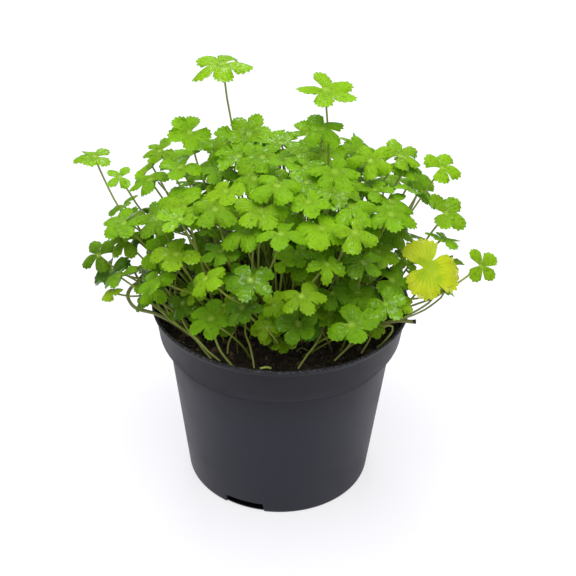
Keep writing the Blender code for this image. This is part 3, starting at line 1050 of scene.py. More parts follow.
class BladeMaker:
    """Draws blades as thin closed shells on their nets."""

    HALF_THICKNESS = 0.14 * MM
    ARC = math.radians(100)
    SPREAD = 1.05
    HEEL = 0.10
    DIP_POWER = 1.3
    TOOTH_ROUNDNESS = 0.5
    TOOTH_BALANCE = 0.45
    UNEVENNESS = 0.25
    UNEVEN_PITCH = 5.3
    FUNNEL_WIDTH = 0.16
    LOBE_BEND = 0.3
    DROOP_START = 0.4
    WAVE_PITCH = 2.6
    GROOVE = 0.017
    SHARP_ANGLE = math.radians(70)

    def __init__(self) -> None:
        """Starts with no nets."""
        self.nets: dict[tuple[int, int], BladeNet] = {}

    def net(self, lobes: int, teeth: int) -> BladeNet:
        """Finds the net of a blade.

        Args:
            lobes: How many lobes the blade has.
            teeth: How many teeth each of them has.

        Returns:
            The net, made once for each pair of numbers.
        """
        if (lobes, teeth) not in self.nets:
            self.nets[lobes, teeth] = BladeNet(lobes, teeth)
        return self.nets[lobes, teeth]

    def outline(self, net: BladeNet, plan: BladePlan, habit: Habit) -> tuple[np.ndarray, ...]:
        """Lays the net out flat.

        Args:
            net: The blade's net.
            plan: The blade's plan.
            habit: How it is grown.

        Returns:
            The points' places ahead and to the left, and across their own lobe as a share of its width.
        """
        reach = plan.reach
        middle = np.array([lobe.middle for lobe in plan.lobes]) * self.SPREAD
        length = np.array([lobe.length for lobe in plan.lobes])[net.lobe]
        half = 0.5 * (middle[-1] - middle[0]) / (len(middle) - 1)
        web = habit.web * reach
        # The web: rings about the stalk, drawn in where the blade is open behind the stalk.
        turn = middle[net.lobe] + net.side * half
        open_angle = math.tau - (middle[-1] - middle[0]) - 2 * half
        turn = np.where(net.gap >= 0, turn + net.gap * open_angle, turn)
        dip = np.where(net.gap >= 0, np.abs(2 * net.gap - 1) ** self.DIP_POWER, 1.0)
        radius = net.ring * (self.HEEL * reach + (web - self.HEEL * reach) * dip)
        # A lobe: straight sides from the web, and a rounded end with teeth.
        widest = habit.waist * length
        broad = widest * math.tan(half - habit.gap)
        swing = net.side * self.ARC
        end_across, end_along = broad * np.sin(swing), widest + (length - widest) * np.cos(swing)
        normal = np.stack([(length - widest) * np.sin(swing), broad * np.cos(swing)])
        normal /= np.maximum(np.linalg.norm(normal, axis=0), 1e-9)
        scallop = np.abs(np.sin(np.pi * (net.side + 1) / 2 * net.teeth)) ** self.TOOTH_ROUNDNESS
        uneven = 1 + self.UNEVENNESS * np.sin(self.UNEVEN_PITCH * net.column + habit.phase)
        tooth = habit.tooth_depth * length * (scallop * uneven - self.TOOTH_BALANCE)
        start_across, start_along = web * np.sin(net.side * half), web * np.cos(net.side * half)
        across = start_across + (end_across - start_across) * net.row
        along = start_along + (end_along - start_along) * net.row
        across += normal[0] * tooth * net.row**3 + habit.belly * broad * net.side**3 * np.sin(np.pi * net.row)
        along += normal[1] * tooth * net.row**3
        lobe_turn = middle[net.lobe]
        ahead = np.where(net.row > 0, along * np.cos(lobe_turn) - across * np.sin(lobe_turn),
                         radius * np.cos(turn))
        left = np.where(net.row > 0, along * np.sin(lobe_turn) + across * np.cos(lobe_turn),
                        radius * np.sin(turn))
        return ahead, left, across / broad

    def relief(self, net: BladeNet, plan: BladePlan, habit: Habit, radius: np.ndarray,
               across: np.ndarray) -> np.ndarray:
        """How far each point stands above the blade's level.

        Args:
            net: The blade's net.
            plan: The blade's plan.
            habit: How it is held.
            radius: The points' distances from the stalk.
            across: Their places across their own lobe, as a share of its width.

        Returns:
            The heights.
        """
        reach = plan.reach
        length = np.array([lobe.length for lobe in plan.lobes])[net.lobe]
        right = np.array([lobe.rise_right for lobe in plan.lobes])
        left = np.array([lobe.rise_left for lobe in plan.lobes])
        own = net.row
        mean = (right + left) / 2
        level = mean.mean() * (1 - own) + mean[net.lobe] * own
        lean = ((left - right) / 2)[net.lobe] * across * own
        out = radius / length
        height = (level + lean) * out**2
        height -= habit.funnel * reach * np.exp(-((radius / (self.FUNNEL_WIDTH * reach)) ** 2))
        height += np.array(habit.tilts)[net.lobe] * own * (radius - habit.web * reach)
        height += np.array(habit.cups)[net.lobe] * own * across**2 * self.LOBE_BEND * length
        height += np.array(habit.twists)[net.lobe] * own**2 * across * self.LOBE_BEND * length
        height -= habit.droop * length * np.maximum(out - self.DROOP_START, 0) ** 2
        height += habit.wave * reach * own**2 * np.sin(self.WAVE_PITCH * net.column + habit.phase)
        groove = np.abs(2 * (net.column % 1.0) - 1)
        height += self.GROOVE * reach * groove * np.sin(np.pi * np.clip(out, 0, 1)) * (net.column >= 0)
        return height

    def add(self, patch: Patch, plan: BladePlan, habit: Habit) -> None:
        """Draws one blade.

        Args:
            patch: Takes the blade's points and faces.
            plan: The blade's plan.
            habit: How it is grown and held.
        """
        net = self.net(len(plan.lobes), habit.teeth)
        ahead, left, across = self.outline(net, plan, habit)
        radius = np.hypot(ahead, left)
        height = self.relief(net, plan, habit, radius, across)
        flat = np.outer(ahead, plan.ahead) + np.outer(left, plan.left) + np.array(plan.hub)
        inner = np.array([k not in net.margin for k in range(len(net.points))])
        lift = np.outer(np.where(inner, self.HALF_THICKNESS, 0.0), plan.up)
        top = flat + np.outer(height, plan.up) + lift
        under = (top - 2 * lift)[inner]
        below = np.arange(len(top))
        below[inner] = len(top) + np.arange(inner.sum())
        start = patch.count
        patch.points += [top, under]
        patch.count += len(top) + len(under)
        veins = np.stack([net.column, radius / plan.reach], 1)
        turns = net.lobes * net.teeth + 1
        for side, number in enumerate((np.arange(len(top)), below)):
            for face in net.faces:
                notes = veins[list(face)]
                known = notes[:, 0] >= 0
                if notes[known, 0].max() - notes[known, 0].min() > turns / 2:
                    notes[notes[:, 0] < turns / 2, 0] += turns
                notes[~known, 0] = notes[known, 0].mean()
                corners = number[list(face)] + start
                patch.faces.append(tuple(corners[::-1] if side else corners))
                patch.veins.append(notes[::-1] if side else notes)
                patch.sides.append(side)
        patch.growth.append(np.tile([habit.tint_and_shade, habit.fresh, habit.wet], (len(top) + len(under), 1)))

    @staticmethod
    def mesh(name: str, patch: Patch, *materials: bpy.types.Material) -> bpy.types.Mesh:
        """Turns a patch into a mesh.

        Args:
            name: The mesh's name.
            patch: The blades.
            materials: The finish of the upper side and of the underside.

        Returns:
            The mesh, shaded smooth with a sharp margin.
        """
        made = bpy.data.meshes.new(name)
        made.from_pydata(np.concatenate(patch.points).tolist(), [], patch.faces)
        for material in materials:
            made.materials.append(material)
        made.polygons.foreach_set("material_index", patch.sides)
        growth = made.attributes.new("growth", "FLOAT_VECTOR", "POINT")
        growth.data.foreach_set("vector", np.concatenate(patch.growth).astype(np.float32).ravel())
        veins = made.attributes.new("veins", "FLOAT_VECTOR", "CORNER")
        notes = np.concatenate(patch.veins)
        notes = np.column_stack([notes, np.zeros(len(notes))])
        veins.data.foreach_set("vector", notes.astype(np.float32).ravel())
        made.shade_smooth()
        made.set_sharp_from_angle(angle=BladeMaker.SHARP_ANGLE)
        return made


# ------------------------------------------------------------------------------------------ plant

class StemTree(Growth):
    """Round stems along a guide's edges: smooth, slightly wavering and as thick as the guide says."""

    WAVER_LENGTH = 14 * MM

    def __init__(self) -> None:
        """Builds the tree."""
        super().__init__("stems")
        sides = self.size("Sides", "NodeSocketInt")
        waver = self.size("Waver")
        steps = self.size("Steps", "NodeSocketInt")
        line = self.out("GeometryNodeMeshToCurve", {}, {"Mesh": self.guide})
        line = self.out("GeometryNodeCurveSplineType", {"spline_type": "CATMULL_ROM"}, {"Curve": line})
        line = self.out("GeometryNodeResampleCurve", {}, {"Curve": line, "Count": steps})
        place = self.out("GeometryNodeInputPosition")
        factor = self.out("GeometryNodeSplineParameter", output="Factor")
        slack = (factor * (1.0 - factor) * 4.0) * waver
        spot = self.vector("SCALE", place, 1 / self.WAVER_LENGTH)
        drift = self.out("ShaderNodeTexNoise", {}, {"Vector": spot, "Scale": 1.0, "Detail": 1.0}, "Color")
        drift = self.vector("SUBTRACT", drift, (0.5, 0.5, 0.5))
        offset = self.vector("SCALE", drift, slack)
        line = self.out("GeometryNodeSetPosition", {}, {"Geometry": line, "Offset": offset})
        ring = self.out("GeometryNodeCurvePrimitiveCircle", {}, {"Resolution": sides, "Radius": 1.0})
        girth = self.out("GeometryNodeInputNamedAttribute", {"data_type": "FLOAT"}, {"Name": "girth"})
        stem = self.out("GeometryNodeCurveToMesh", {}, {"Curve": line, "Profile Curve": ring,
                                                        "Scale": girth, "Fill Caps": True})
        stem = self.out("GeometryNodeSetShadeSmooth", {}, {"Geometry": stem})
        self.end(stem)


def stem_guide(name: str, routes: Sequence[Sequence[Vector]],
               girths: Sequence[Sequence[float]]) -> bpy.types.Mesh:
    """Makes the guide for some stems.

    Args:
        name: The mesh's name.
        routes: Each stem's points, from its foot up.
        girths: The stem's radius at each of those points.

    Returns:
        A mesh of edges, with the girth and the share of the way along as attributes.
    """
    points, edges, along = [], [], []
    for route in routes:
        edges += [(len(points) + k, len(points) + k + 1) for k in range(len(route) - 1)]
        along += [(k / (len(route) - 1), 0.0, 0.0) for k in range(len(route))]
        points += route
    guide = bpy.data.meshes.new(name)
    guide.from_pydata(points, edges, [])
    girth = guide.attributes.new("girth", "FLOAT", "POINT")
    girth.data.foreach_set("value", [value for row in girths for value in row])
    share = guide.attributes.new("along", "FLOAT_VECTOR", "POINT")
    share.data.foreach_set("vector", np.ravel(along))
    return guide


@dataclass
class Foliage:
    """All tufts: knobs, stalks and blades.

    Growth is how big a blade is drawn beside its packed one, from the low leaves to the high ones. A leaf
    that is further back than sink_start is drawn lower, by a share of how far back it is and by no more
    than sink_most. A far leaf reaches out over the rim, and its stalk is straighter and hangs in a bow. A
    nudge is how far one leaf, named by its tuft and its number, is drawn to the right, to the back and up,
    in mm, and how much it grows. Young leaves are small ones on the same knobs, under the others.
    """

    stalk_foot: float = 0.50 * MM
    stalk_tip: float = 0.44 * MM
    stalk_sides: int = 7
    stalk_steps: int = 16
    waver: float = 1.6 * MM
    knob_radius: float = 1.5 * MM
    knob_shape: Triple = (1.25, 0.85, 0.72)
    knob_lumps: float = 0.22
    knob_lump_size: float = 1.3 * MM
    seed: int = 7
    tall_height: float = 160 * MM
    far_reach: float = 80 * MM
    lean_share: float = 0.22
    low_growth: float = 0.90
    high_growth: float = 0.98
    tallest_growth: float = 1.16
    tallest_height: float = 190 * MM
    tallest_droop: float = 0.10
    tallest_lean: tuple[float, float] = (9.0, -7.0)
    sink_share: float = 0.32
    sink_start: float = 8 * MM
    sink_most: float = 8 * MM
    sink_ceiling: float = 172 * MM
    straightness: float = 0.85
    bow: float = 6 * MM
    bow_turn: float = 0.7
    nudges: dict[tuple[str, int], tuple[float, float, float, float]] = field(default_factory=lambda: {
        ("yellow_leaf", 0): (-3.4, 0.0, 1.2, 1.0), ("tuft_25", 3): (-6.0, 0.0, 3.5, 0.85),
        ("tuft_33", 3): (0.0, 0.0, -1.0, 0.60), ("tuft_05", 0): (0.6, 0.0, 2.6, 1.0),
        ("tuft_07", 0): (0.0, 0.0, 0.6, 1.0), ("tuft_17", 4): (-3.0, 0.0, 3.0, 1.20)})
    yellow_turn: float = math.radians(-20)
    yellow_push: Triple = (0.0, 0.20, 0.10)
    yellow_spread: float = 0.99
    yellow_shifts: Triple = (math.radians(2), math.radians(-5), math.radians(6))
    yellow_growth: float = 1.17
    yellow_habit: dict[str, float] = field(
        default_factory=lambda: {"tooth_depth": 0.072, "belly": 0.12, "droop": 0.15})
    young_share: float = 0.68
    young_rise: tuple[float, float] = (0.45, 0.80)
    young_reach: tuple[float, float] = (5.5, 9.0)
    young_fan: float = math.radians(310)
    young_drift: float = 7 * MM
    young_outward: float = 9.0
    young_aside: float = 30.0
    young_forward: float = 0.15
    young_floor: float = 99 * MM
    rim_reach: float = 50 * MM
    rim_height: float = 104 * MM
    top_height: float = 160 * MM
    low_height: float = 105 * MM
    maker: BladeMaker = field(default_factory=BladeMaker)

    def teeth(self, plan: BladePlan) -> int:
        """Chooses how many teeth a lobe of this blade has.

        Args:
            plan: The blade's plan.

        Returns:
            The number of teeth.
        """
        reach = plan.reach / MM
        if len(plan.lobes) == 3:
            return 9 if reach > 12.5 else 8 if reach > 8 else 6
        return 4 if reach < 6.5 else 5 if reach < 8.5 else 6 if reach < 10 else 7

    def habit(self, plan: BladePlan, rng: random.Random) -> Habit:
        """Draws how a blade is grown and held.

        Args:
            plan: The blade's plan.
            rng: The source of chance.

        Returns:
            The blade's habit.
        """
        lobes = len(plan.lobes)
        height = (plan.hub.z - self.low_height) / (self.top_height - self.low_height)
        young = max(0.0, 1 - plan.reach / (8.5 * MM))
        droop = rng.uniform(0.1, 0.5)
        bowl = rng.choice((-0.55, -0.35, -0.2, 0.0, 0.3))
        return Habit(
            teeth=self.teeth(plan),
            web=rng.uniform(0.18, 0.28) if lobes > 3 else rng.uniform(0.20, 0.28),
            gap=math.radians({5: rng.uniform(2.5, 6.0), 4: rng.uniform(6, 11), 3: rng.uniform(8, 13)}[lobes]),
            waist=rng.uniform(0.58, 0.66) if lobes > 3 else rng.uniform(0.54, 0.62),
            belly=rng.uniform(0.04, 0.14),
            tooth_depth=rng.uniform(0.044, 0.066) * (1.0 if lobes > 3 else 0.85),
            funnel=rng.uniform(0.02, 0.07),
            droop=droop,
            cups=tuple(bowl + rng.uniform(-0.22, 0.22) for _ in range(lobes)),
            tilts=tuple(rng.uniform(-0.26, 0.20) for _ in range(lobes)),
            twists=tuple(rng.uniform(-0.35, 0.35) for _ in range(lobes)),
            wave=rng.uniform(0.006, 0.022),
            phase=rng.uniform(0, math.tau),
            # The tone is random, plus painted shade that darkens the low leaves.
            tint_and_shade=min(1.1, max(-0.1, 0.74 - 0.64 * height + rng.uniform(-0.40, 0.40))),
            fresh=min(0.8, 2.0 * young * rng.random() + max(0.0, rng.uniform(-0.30, 0.40))),
            wet=rng.choice((0.0, 0.2, 0.5, 1.0)),
        )

    def knob(self, name: str, place: Vector, rng: random.Random,
             material: bpy.types.Material) -> bpy.types.Object:
        """Makes the swollen, rooted foot of a tuft.

        Args:
            name: The piece's name.
            place: The knob's middle.
            rng: The source of chance.
            material: Its finish.

        Returns:
            The knob.
        """
        form = bmesh.new()
        bmesh.ops.create_icosphere(form, subdivisions=3, radius=self.knob_radius)
        turn = Matrix.Rotation(rng.uniform(0, math.tau), 3, "Z")
        for vert in form.verts:
            lump = 1 + self.knob_lumps * noise.noise(vert.co / self.knob_lump_size + place / MM)
            vert.co = turn @ (vert.co * Vector(self.knob_shape)) * lump + place
        mesh = bpy.data.meshes.new(name)
        form.to_mesh(mesh)
        form.free()
        mesh.shade_smooth()
        return add_piece(name, mesh, material)

    def routes(self, plan: TuftPlan, habits: Sequence[Habit]) -> list[list[Vector]]:
        """The stalks' routes.

        Args:
            plan: The tuft's plan.
            habits: How each of its blades is held.

        Returns:
            For each shoot, its points from inside the knob up to just under the blade's middle.
        """
        made = []
        for shoot, habit in zip(plan.shoots, habits):
            foot = shoot.route[0].lerp(plan.knob, 0.5)
            sunk = habit.funnel * shoot.blade.reach + self.stalk_tip
            made.append([foot] + shoot.route[:-1] + [shoot.blade.hub - shoot.blade.up * sunk])
        return made

    def settle(self, shoot: ShootPlan, right: float, back: float, rise: float, growth: float) -> None:
        """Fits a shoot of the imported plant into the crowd: its size, its lean and its final place.

        Args:
            shoot: The shoot.
            right: How far its blade moves to the right, in mm.
            back: How far it moves to the back, in mm.
            rise: How far it moves up, in mm.
            growth: How much bigger it gets.
        """
        hub = shoot.blade.hub.copy()
        height = (hub.z - self.low_height) / (self.top_height - self.low_height)
        growth *= self.low_growth + (self.high_growth - self.low_growth) * min(1.0, max(0.0, height))
        far = hub.xy.length > self.far_reach
        if hub.z > self.tallest_height:
            growth = self.tallest_growth
            self.lean(shoot.blade, Vector((*self.tallest_lean, 0)) * hub.x)
        elif hub.z > self.tall_height or far:
            self.lean(shoot.blade, Vector((0, -self.lean_share, 0)))
        for lobe in shoot.blade.lobes:
            lobe.length *= growth
        move = Vector((right, back, rise)) * MM
        if hub.z < self.sink_ceiling and not far:
            sink = self.sink_share * max(0.0, hub.y - self.sink_start)
            move.z -= min(sink, self.sink_most)
        shoot.blade.hub += move
        last = len(shoot.route) - 1
        for k, point in enumerate(shoot.route):
            point += move * (k / last) ** 2
            if far:
                straight = shoot.route[0].lerp(shoot.blade.hub, k / last)
                point += (straight - point) * self.straightness
                hang = (hub.xy.normalized().to_3d() - Vector((0, 0, 1))) * self.bow_turn
                point += hang * self.bow * 4 * (k / last) * (1 - k / last)

    @staticmethod
    def lean(blade: BladePlan, push: Vector) -> None:
        """Leans a blade by tipping its upward direction."""
        blade.up = (blade.up + push).normalized()
        blade.ahead = (blade.ahead - blade.up * blade.ahead.dot(blade.up)).normalized()

    def young_shoots(self, plan: TuftPlan, rng: random.Random) -> list[ShootPlan]:
        """Adds the small leaves that are still rising under the others.

        Args:
            plan: The tuft's plan.
            rng: The source of chance.

        Returns:
            The small leaves and their stalks.
        """
        made = []
        for shoot in plan.shoots:
            if rng.random() > self.young_share:
                continue
            share = rng.uniform(*self.young_rise)
            drift = Vector((rng.uniform(-1, 1), rng.uniform(-1, 1), 0)) * self.young_drift
            hub = plan.knob.lerp(shoot.blade.hub, share) + drift
            if hub.z < self.young_floor or (hub.xy.length > self.rim_reach and hub.z < self.rim_height):
                continue
            up = Vector((0, -self.young_forward, 1)) + hub.xy.to_3d() * self.young_outward
            up = (up + drift * self.young_aside).normalized()
            turn = rng.uniform(0, math.tau)
            ahead = Vector((math.cos(turn), math.sin(turn), 0))
            ahead = (ahead - up * ahead.dot(up)).normalized()
            count = rng.choice((3, 4, 5, 5))
            reach = rng.uniform(*self.young_reach) * MM
            step = self.young_fan / count
            lobes = [LobePlan((k - (count - 1) / 2) * step, reach * rng.uniform(0.88, 1.05),
                              rng.uniform(-0.1, 0.1) * reach, rng.uniform(-0.1, 0.1) * reach)
                     for k in range(count)]
            bend = plan.knob.lerp(hub, 0.5) + drift * 0.5
            route = [plan.knob.lerp(bend, 0.1), plan.knob.lerp(bend, 0.6), bend, bend.lerp(hub, 0.6), hub]
            made.append(ShootPlan(route, BladePlan(hub, up, ahead, lobes)))
        return made

    def tuft(self, plan: TuftPlan, golden: bool, stems: StemTree,
             materials: dict[str, bpy.types.Material], rng: random.Random) -> bpy.types.Object:
        """Makes one tuft as one piece.

        Args:
            plan: The tuft's plan.
            golden: True for the yellow leaf, which has a single blade with deeper teeth.
            stems: The tree that makes its stalks.
            materials: The finishes of its stalk, its upper sides and its undersides.
            rng: The source of chance.

        Returns:
            The piece.
        """
        for number, shoot in enumerate(plan.shoots):
            self.settle(shoot, *self.nudges.get((plan.name, number), (0.0, 0.0, 0.0, 1.0)))
        if not golden:
            plan.shoots += self.young_shoots(plan, rng)
        habits = [self.habit(shoot.blade, rng) for shoot in plan.shoots]
        routes = self.routes(plan, habits)
        girths = [[self.stalk_foot + (self.stalk_tip - self.stalk_foot) * k / (len(route) - 1)
                   for k in range(len(route))] for route in routes]
        guide = stem_guide(plan.name + "_routes", routes, girths)
        stalks = stems.grow(plan.name + "_plant", guide, materials["stalk"],
                            {"Sides": self.stalk_sides, "Waver": self.waver, "Steps": self.stalk_steps})
        patch = Patch()
        if golden:
            habits = [replace(habit, **self.yellow_habit) for habit in habits]
        for shoot, habit in zip(plan.shoots, habits):
            if shoot.blade.hub.z > self.tallest_height:
                habit = replace(habit, droop=self.tallest_droop)
            self.maker.add(patch, shoot.blade, habit)
        blades = add_piece(plan.name + "_blades",
                           self.maker.mesh(plan.name, patch, materials["top"], materials["under"]))
        knob = self.knob(plan.name + "_knob", plan.knob, rng, materials["crown"])
        return join([stalks, blades, knob])

    def broaden(self, blade: BladePlan) -> None:
        """Spreads the yellow blade's three lobes, parts the first two and turns the blade on its stalk.

        Args:
            blade: The yellow blade.
        """
        for lobe, shift in zip(blade.lobes, self.yellow_shifts):
            lobe.middle = lobe.middle * self.yellow_spread + shift
            lobe.length *= self.yellow_growth
        blade.ahead = Matrix.Rotation(self.yellow_turn, 3, blade.up) @ blade.ahead
        self.lean(blade, Vector(self.yellow_push))

    def build(self, nodes: dict[str, bpy.types.Object], stems: StemTree) -> None:
        """Makes every tuft and the yellow leaf.

        Args:
            nodes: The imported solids, by name.
            stems: The tree that draws stalks.
        """
        crown = PlainFinish("crown", (0.06, 0.045, 0.018), (0.10, 0.09, 0.03), 0.85).make()
        green = {"stalk": StalkFinish().make(), "crown": crown, "top": LeafFinish().make(LeafSide.TOP),
                 "under": LeafFinish().make(LeafSide.UNDER)}
        yellow = {"stalk": green["stalk"], "crown": crown, "top": AgeingLeafFinish().make(LeafSide.TOP),
                  "under": AgeingLeafFinish().make(LeafSide.UNDER)}
        for name in sorted(nodes):
            golden = name == "yellow_leaf"
            if not golden and not name.startswith("tuft_"):
                continue
            plan = TuftReader(nodes[name]).read()
            if golden:
                self.broaden(plan.shoots[0].blade)
            number = 0 if golden else int(name[-2:])
            rng = random.Random(self.seed * 1000 + sum(map(ord, name)) * 17 + number)
            piece = self.tuft(plan, golden, stems, yellow if golden else green, rng)
            hand_over(piece, "leaf_yellow" if golden else "leaf_green", name)


# --------------------------------------------------------------------------------------------- pot

class PotTree(Growth):
    """Turns a wall section about the pot's axis, lifts the foot at its notches and lays the drained floor.

    A notch's middle lies at half a share. The whole turns keep the share above 0, where FRACT counts up.
    """

    WHOLE_TURNS = 20.5

    def __init__(self) -> None:
        """Builds the tree."""
        super().__init__("turned_pot")
        sides = self.size("Sides", "NodeSocketInt")
        radius = self.size("Turning Radius")
        ring = self.out("GeometryNodeCurvePrimitiveCircle", {}, {"Resolution": sides, "Radius": radius})
        section = self.out("GeometryNodeMeshToCurve", {}, {"Mesh": self.guide})
        wall = self.out("GeometryNodeCurveToMesh", {}, {"Curve": ring, "Profile Curve": section})
        both = self.node("GeometryNodeJoinGeometry")
        self.feed(both.inputs[0], self.notched(wall))
        self.feed(both.inputs[0], self.floor(sides))
        self.end(Wire(self, both.outputs[0]))

    def notched(self, wall: Wire) -> Wire:
        """Lifts the foot ring where it has notches.

        Args:
            wall: The turned wall.

        Returns:
            The wall with its notches.
        """
        count, turn = self.size("Notches"), self.size("Notch Turn")
        reach, height = self.size("Notch Half Angle"), self.size("Notch Height")
        split = self.node("ShaderNodeSeparateXYZ", {}, {"Vector": self.out("GeometryNodeInputPosition")})
        across, along, level = (Wire(self, socket) for socket in split.outputs)
        share = ((self.maths("ARCTAN2", along, across) - turn) / math.tau * count + self.WHOLE_TURNS).part()
        away = abs(share - 0.5) * math.tau / count
        chosen = self.maths("LESS_THAN", away, reach) * self.maths("LESS_THAN", level, height)
        lifted = self.out("ShaderNodeCombineXYZ", {}, {"X": across, "Y": along, "Z": height})
        return self.out("GeometryNodeSetPosition", {}, {"Geometry": wall, "Selection": chosen,
                                                        "Position": lifted})

    def floor(self, sides: Wire) -> Wire:
        """Makes the raised floor: a plate with a ring of round drain holes and one in the middle.

        Args:
            sides: How many sides its edge has.

        Returns:
            The plate, closed.
        """
        edge = self.out("GeometryNodeCurvePrimitiveCircle", {}, {"Resolution": sides,
                                                                 "Radius": self.size("Floor Radius")})
        hole = self.out("GeometryNodeCurvePrimitiveCircle", {}, {"Resolution": 32,
                                                                 "Radius": self.size("Drain Radius")})
        spots = self.out("GeometryNodeMeshCircle", {}, {"Vertices": self.size("Drains", "NodeSocketInt"),
                                                        "Radius": self.size("Drain Ring")})
        angle = self.out("ShaderNodeCombineXYZ", {}, {"Z": self.size("Drain Turn")})
        spots = self.out("GeometryNodeTransform", {}, {"Geometry": spots, "Rotation": angle})
        holes = self.out("GeometryNodeInstanceOnPoints", {}, {"Points": spots, "Instance": hole})
        outlines = self.node("GeometryNodeJoinGeometry")
        for outline in (edge, hole, self.out("GeometryNodeRealizeInstances", {}, {"Geometry": holes})):
            self.feed(outlines.inputs[0], outline)
        plate = self.out("GeometryNodeFillCurve", {}, {"Curve": Wire(self, outlines.outputs[0])})
        plate = self.out("GeometryNodeTransform", {}, {
            "Geometry": plate, "Translation": self.out("ShaderNodeCombineXYZ", {},
                                                       {"Z": self.size("Floor Height")})})
        raised = self.out("GeometryNodeExtrudeMesh", {}, {
            "Mesh": plate, "Offset": (0, 0, 1), "Offset Scale": self.size("Floor Thickness"),
            "Individual": False})
        whole = self.node("GeometryNodeJoinGeometry")
        self.feed(whole.inputs[0], raised)
        self.feed(whole.inputs[0], self.out("GeometryNodeFlipFaces", {}, {"Mesh": plate}))
        return Wire(self, whole.outputs[0])


@dataclass
class Pot:
    """The nursery pot, whose wall section is a closed line of (radius, height, fillet) corners in mm."""

    sides: int = 360
    notches: float = 3.0
    notch_bearing: float = -21.0
    notch_half_angle: float = 12.6
    notch_height: float = 5.3 * MM
    drains: int = 8
    drain_bearing: float = 10.0
    drain_ring: float = 31 * MM
    drain_radius: float = 3.5 * MM
    floor_radius: float = 42.3 * MM
    floor_height: float = 5.1 * MM
    floor_thickness: float = 1.3 * MM
    turning_radius: float = 30 * MM
    corners: tuple[tuple[float, float, float], ...] = (
        (41.2, 5.6, 0.0), (42.6, 5.3, 0.6), (43.9, 6.4, 0.8), (51.1, 73.2, 2.0),
        (55.1, 76.7, 2.0), (57.2, 90.6, 1.0), (58.5, 93.1, 0.4), (58.7, 93.5, 0.2), (59.7, 93.5, 0.35),
        (60.0, 92.9, 0.25), (59.7, 91.7, 0.5), (58.5, 90.6, 0.6), (56.5, 76.2, 2.4), (52.4, 72.4, 3.2),
        (45.45, 11.0, 0.0), (44.82, 5.6, 0.0), (44.77, 5.2, 0.0), (44.3, 1.0, 0.8), (43.6, 0.0, 0.4),
        (42.0, 0.0, 0.3), (41.6, 3.6, 0.4), (41.2, 4.2, 0.0))

    def section(self) -> bpy.types.Mesh:
        """Rounds the corners of the wall.

        Returns:
            The section about a turning radius, as a closed line.
        """
        points = []
        count = len(self.corners)
        for k, (radius, height, fillet) in enumerate(self.corners):
            before = Vector(self.corners[k - 1][:2])
            after = Vector(self.corners[(k + 1) % count][:2])
            points += [point * MM for point in rounded(before, Vector((radius, height)), after, fillet)]
        mesh = bpy.data.meshes.new("pot_section")
        mesh.from_pydata([(p.x - self.turning_radius, -p.y, 0) for p in points],
                         [(k, (k + 1) % len(points)) for k in range(len(points))], [])
        return mesh

    def build(self) -> None:
        """Makes the pot."""
        sizes = {"Sides": self.sides, "Turning Radius": self.turning_radius, "Drains": self.drains,
                 "Drain Ring": self.drain_ring, "Drain Turn": math.radians(self.drain_bearing - 90),
                 "Drain Radius": self.drain_radius, "Floor Radius": self.floor_radius,
                 "Floor Height": self.floor_height, "Floor Thickness": self.floor_thickness,
                 "Notches": self.notches, "Notch Height": self.notch_height,
                 "Notch Half Angle": math.radians(self.notch_half_angle),
                 "Notch Turn": math.radians(self.notch_bearing - 90)}
        pot = PotTree().grow("nursery_pot", self.section(), PotFinish().make(), sizes)
        form = bmesh.new()
        form.from_mesh(pot.data)
        bmesh.ops.remove_doubles(form, verts=form.verts, dist=MERGE)
        bmesh.ops.dissolve_degenerate(form, edges=form.edges, dist=MERGE)
        bmesh.ops.recalc_face_normals(form, faces=form.faces)
        form.to_mesh(pot.data)
        form.free()
        pot.data.shade_smooth()
        pot.data.set_sharp_from_angle(angle=math.radians(40))
        hand_over(pot, "pot_plastic", "pot")


def rounded(before: Vector, here: Vector, after: Vector, fillet: float, steps: int = 4) -> list[Vector]:
    """Rounds one corner of a line.

    Args:
        before: The corner before it.
        here: The corner.
        after: The corner after it.
        fillet: How far from the corner the curve starts on each side, 0 for a sharp one.
        steps: How many pieces the curve has.

    Returns:
        The points of the curve.
    """
    if fillet == 0:
        return [here]
    start = here + (before - here).normalized() * min(fillet, (before - here).length * 0.45)
    end = here + (after - here).normalized() * min(fillet, (after - here).length * 0.45)
    return [start.lerp(here, t).lerp(here.lerp(end, t), t) for t in (k / steps for k in range(steps + 1))]


# -------------------------------------------------------------------------------------------- soil

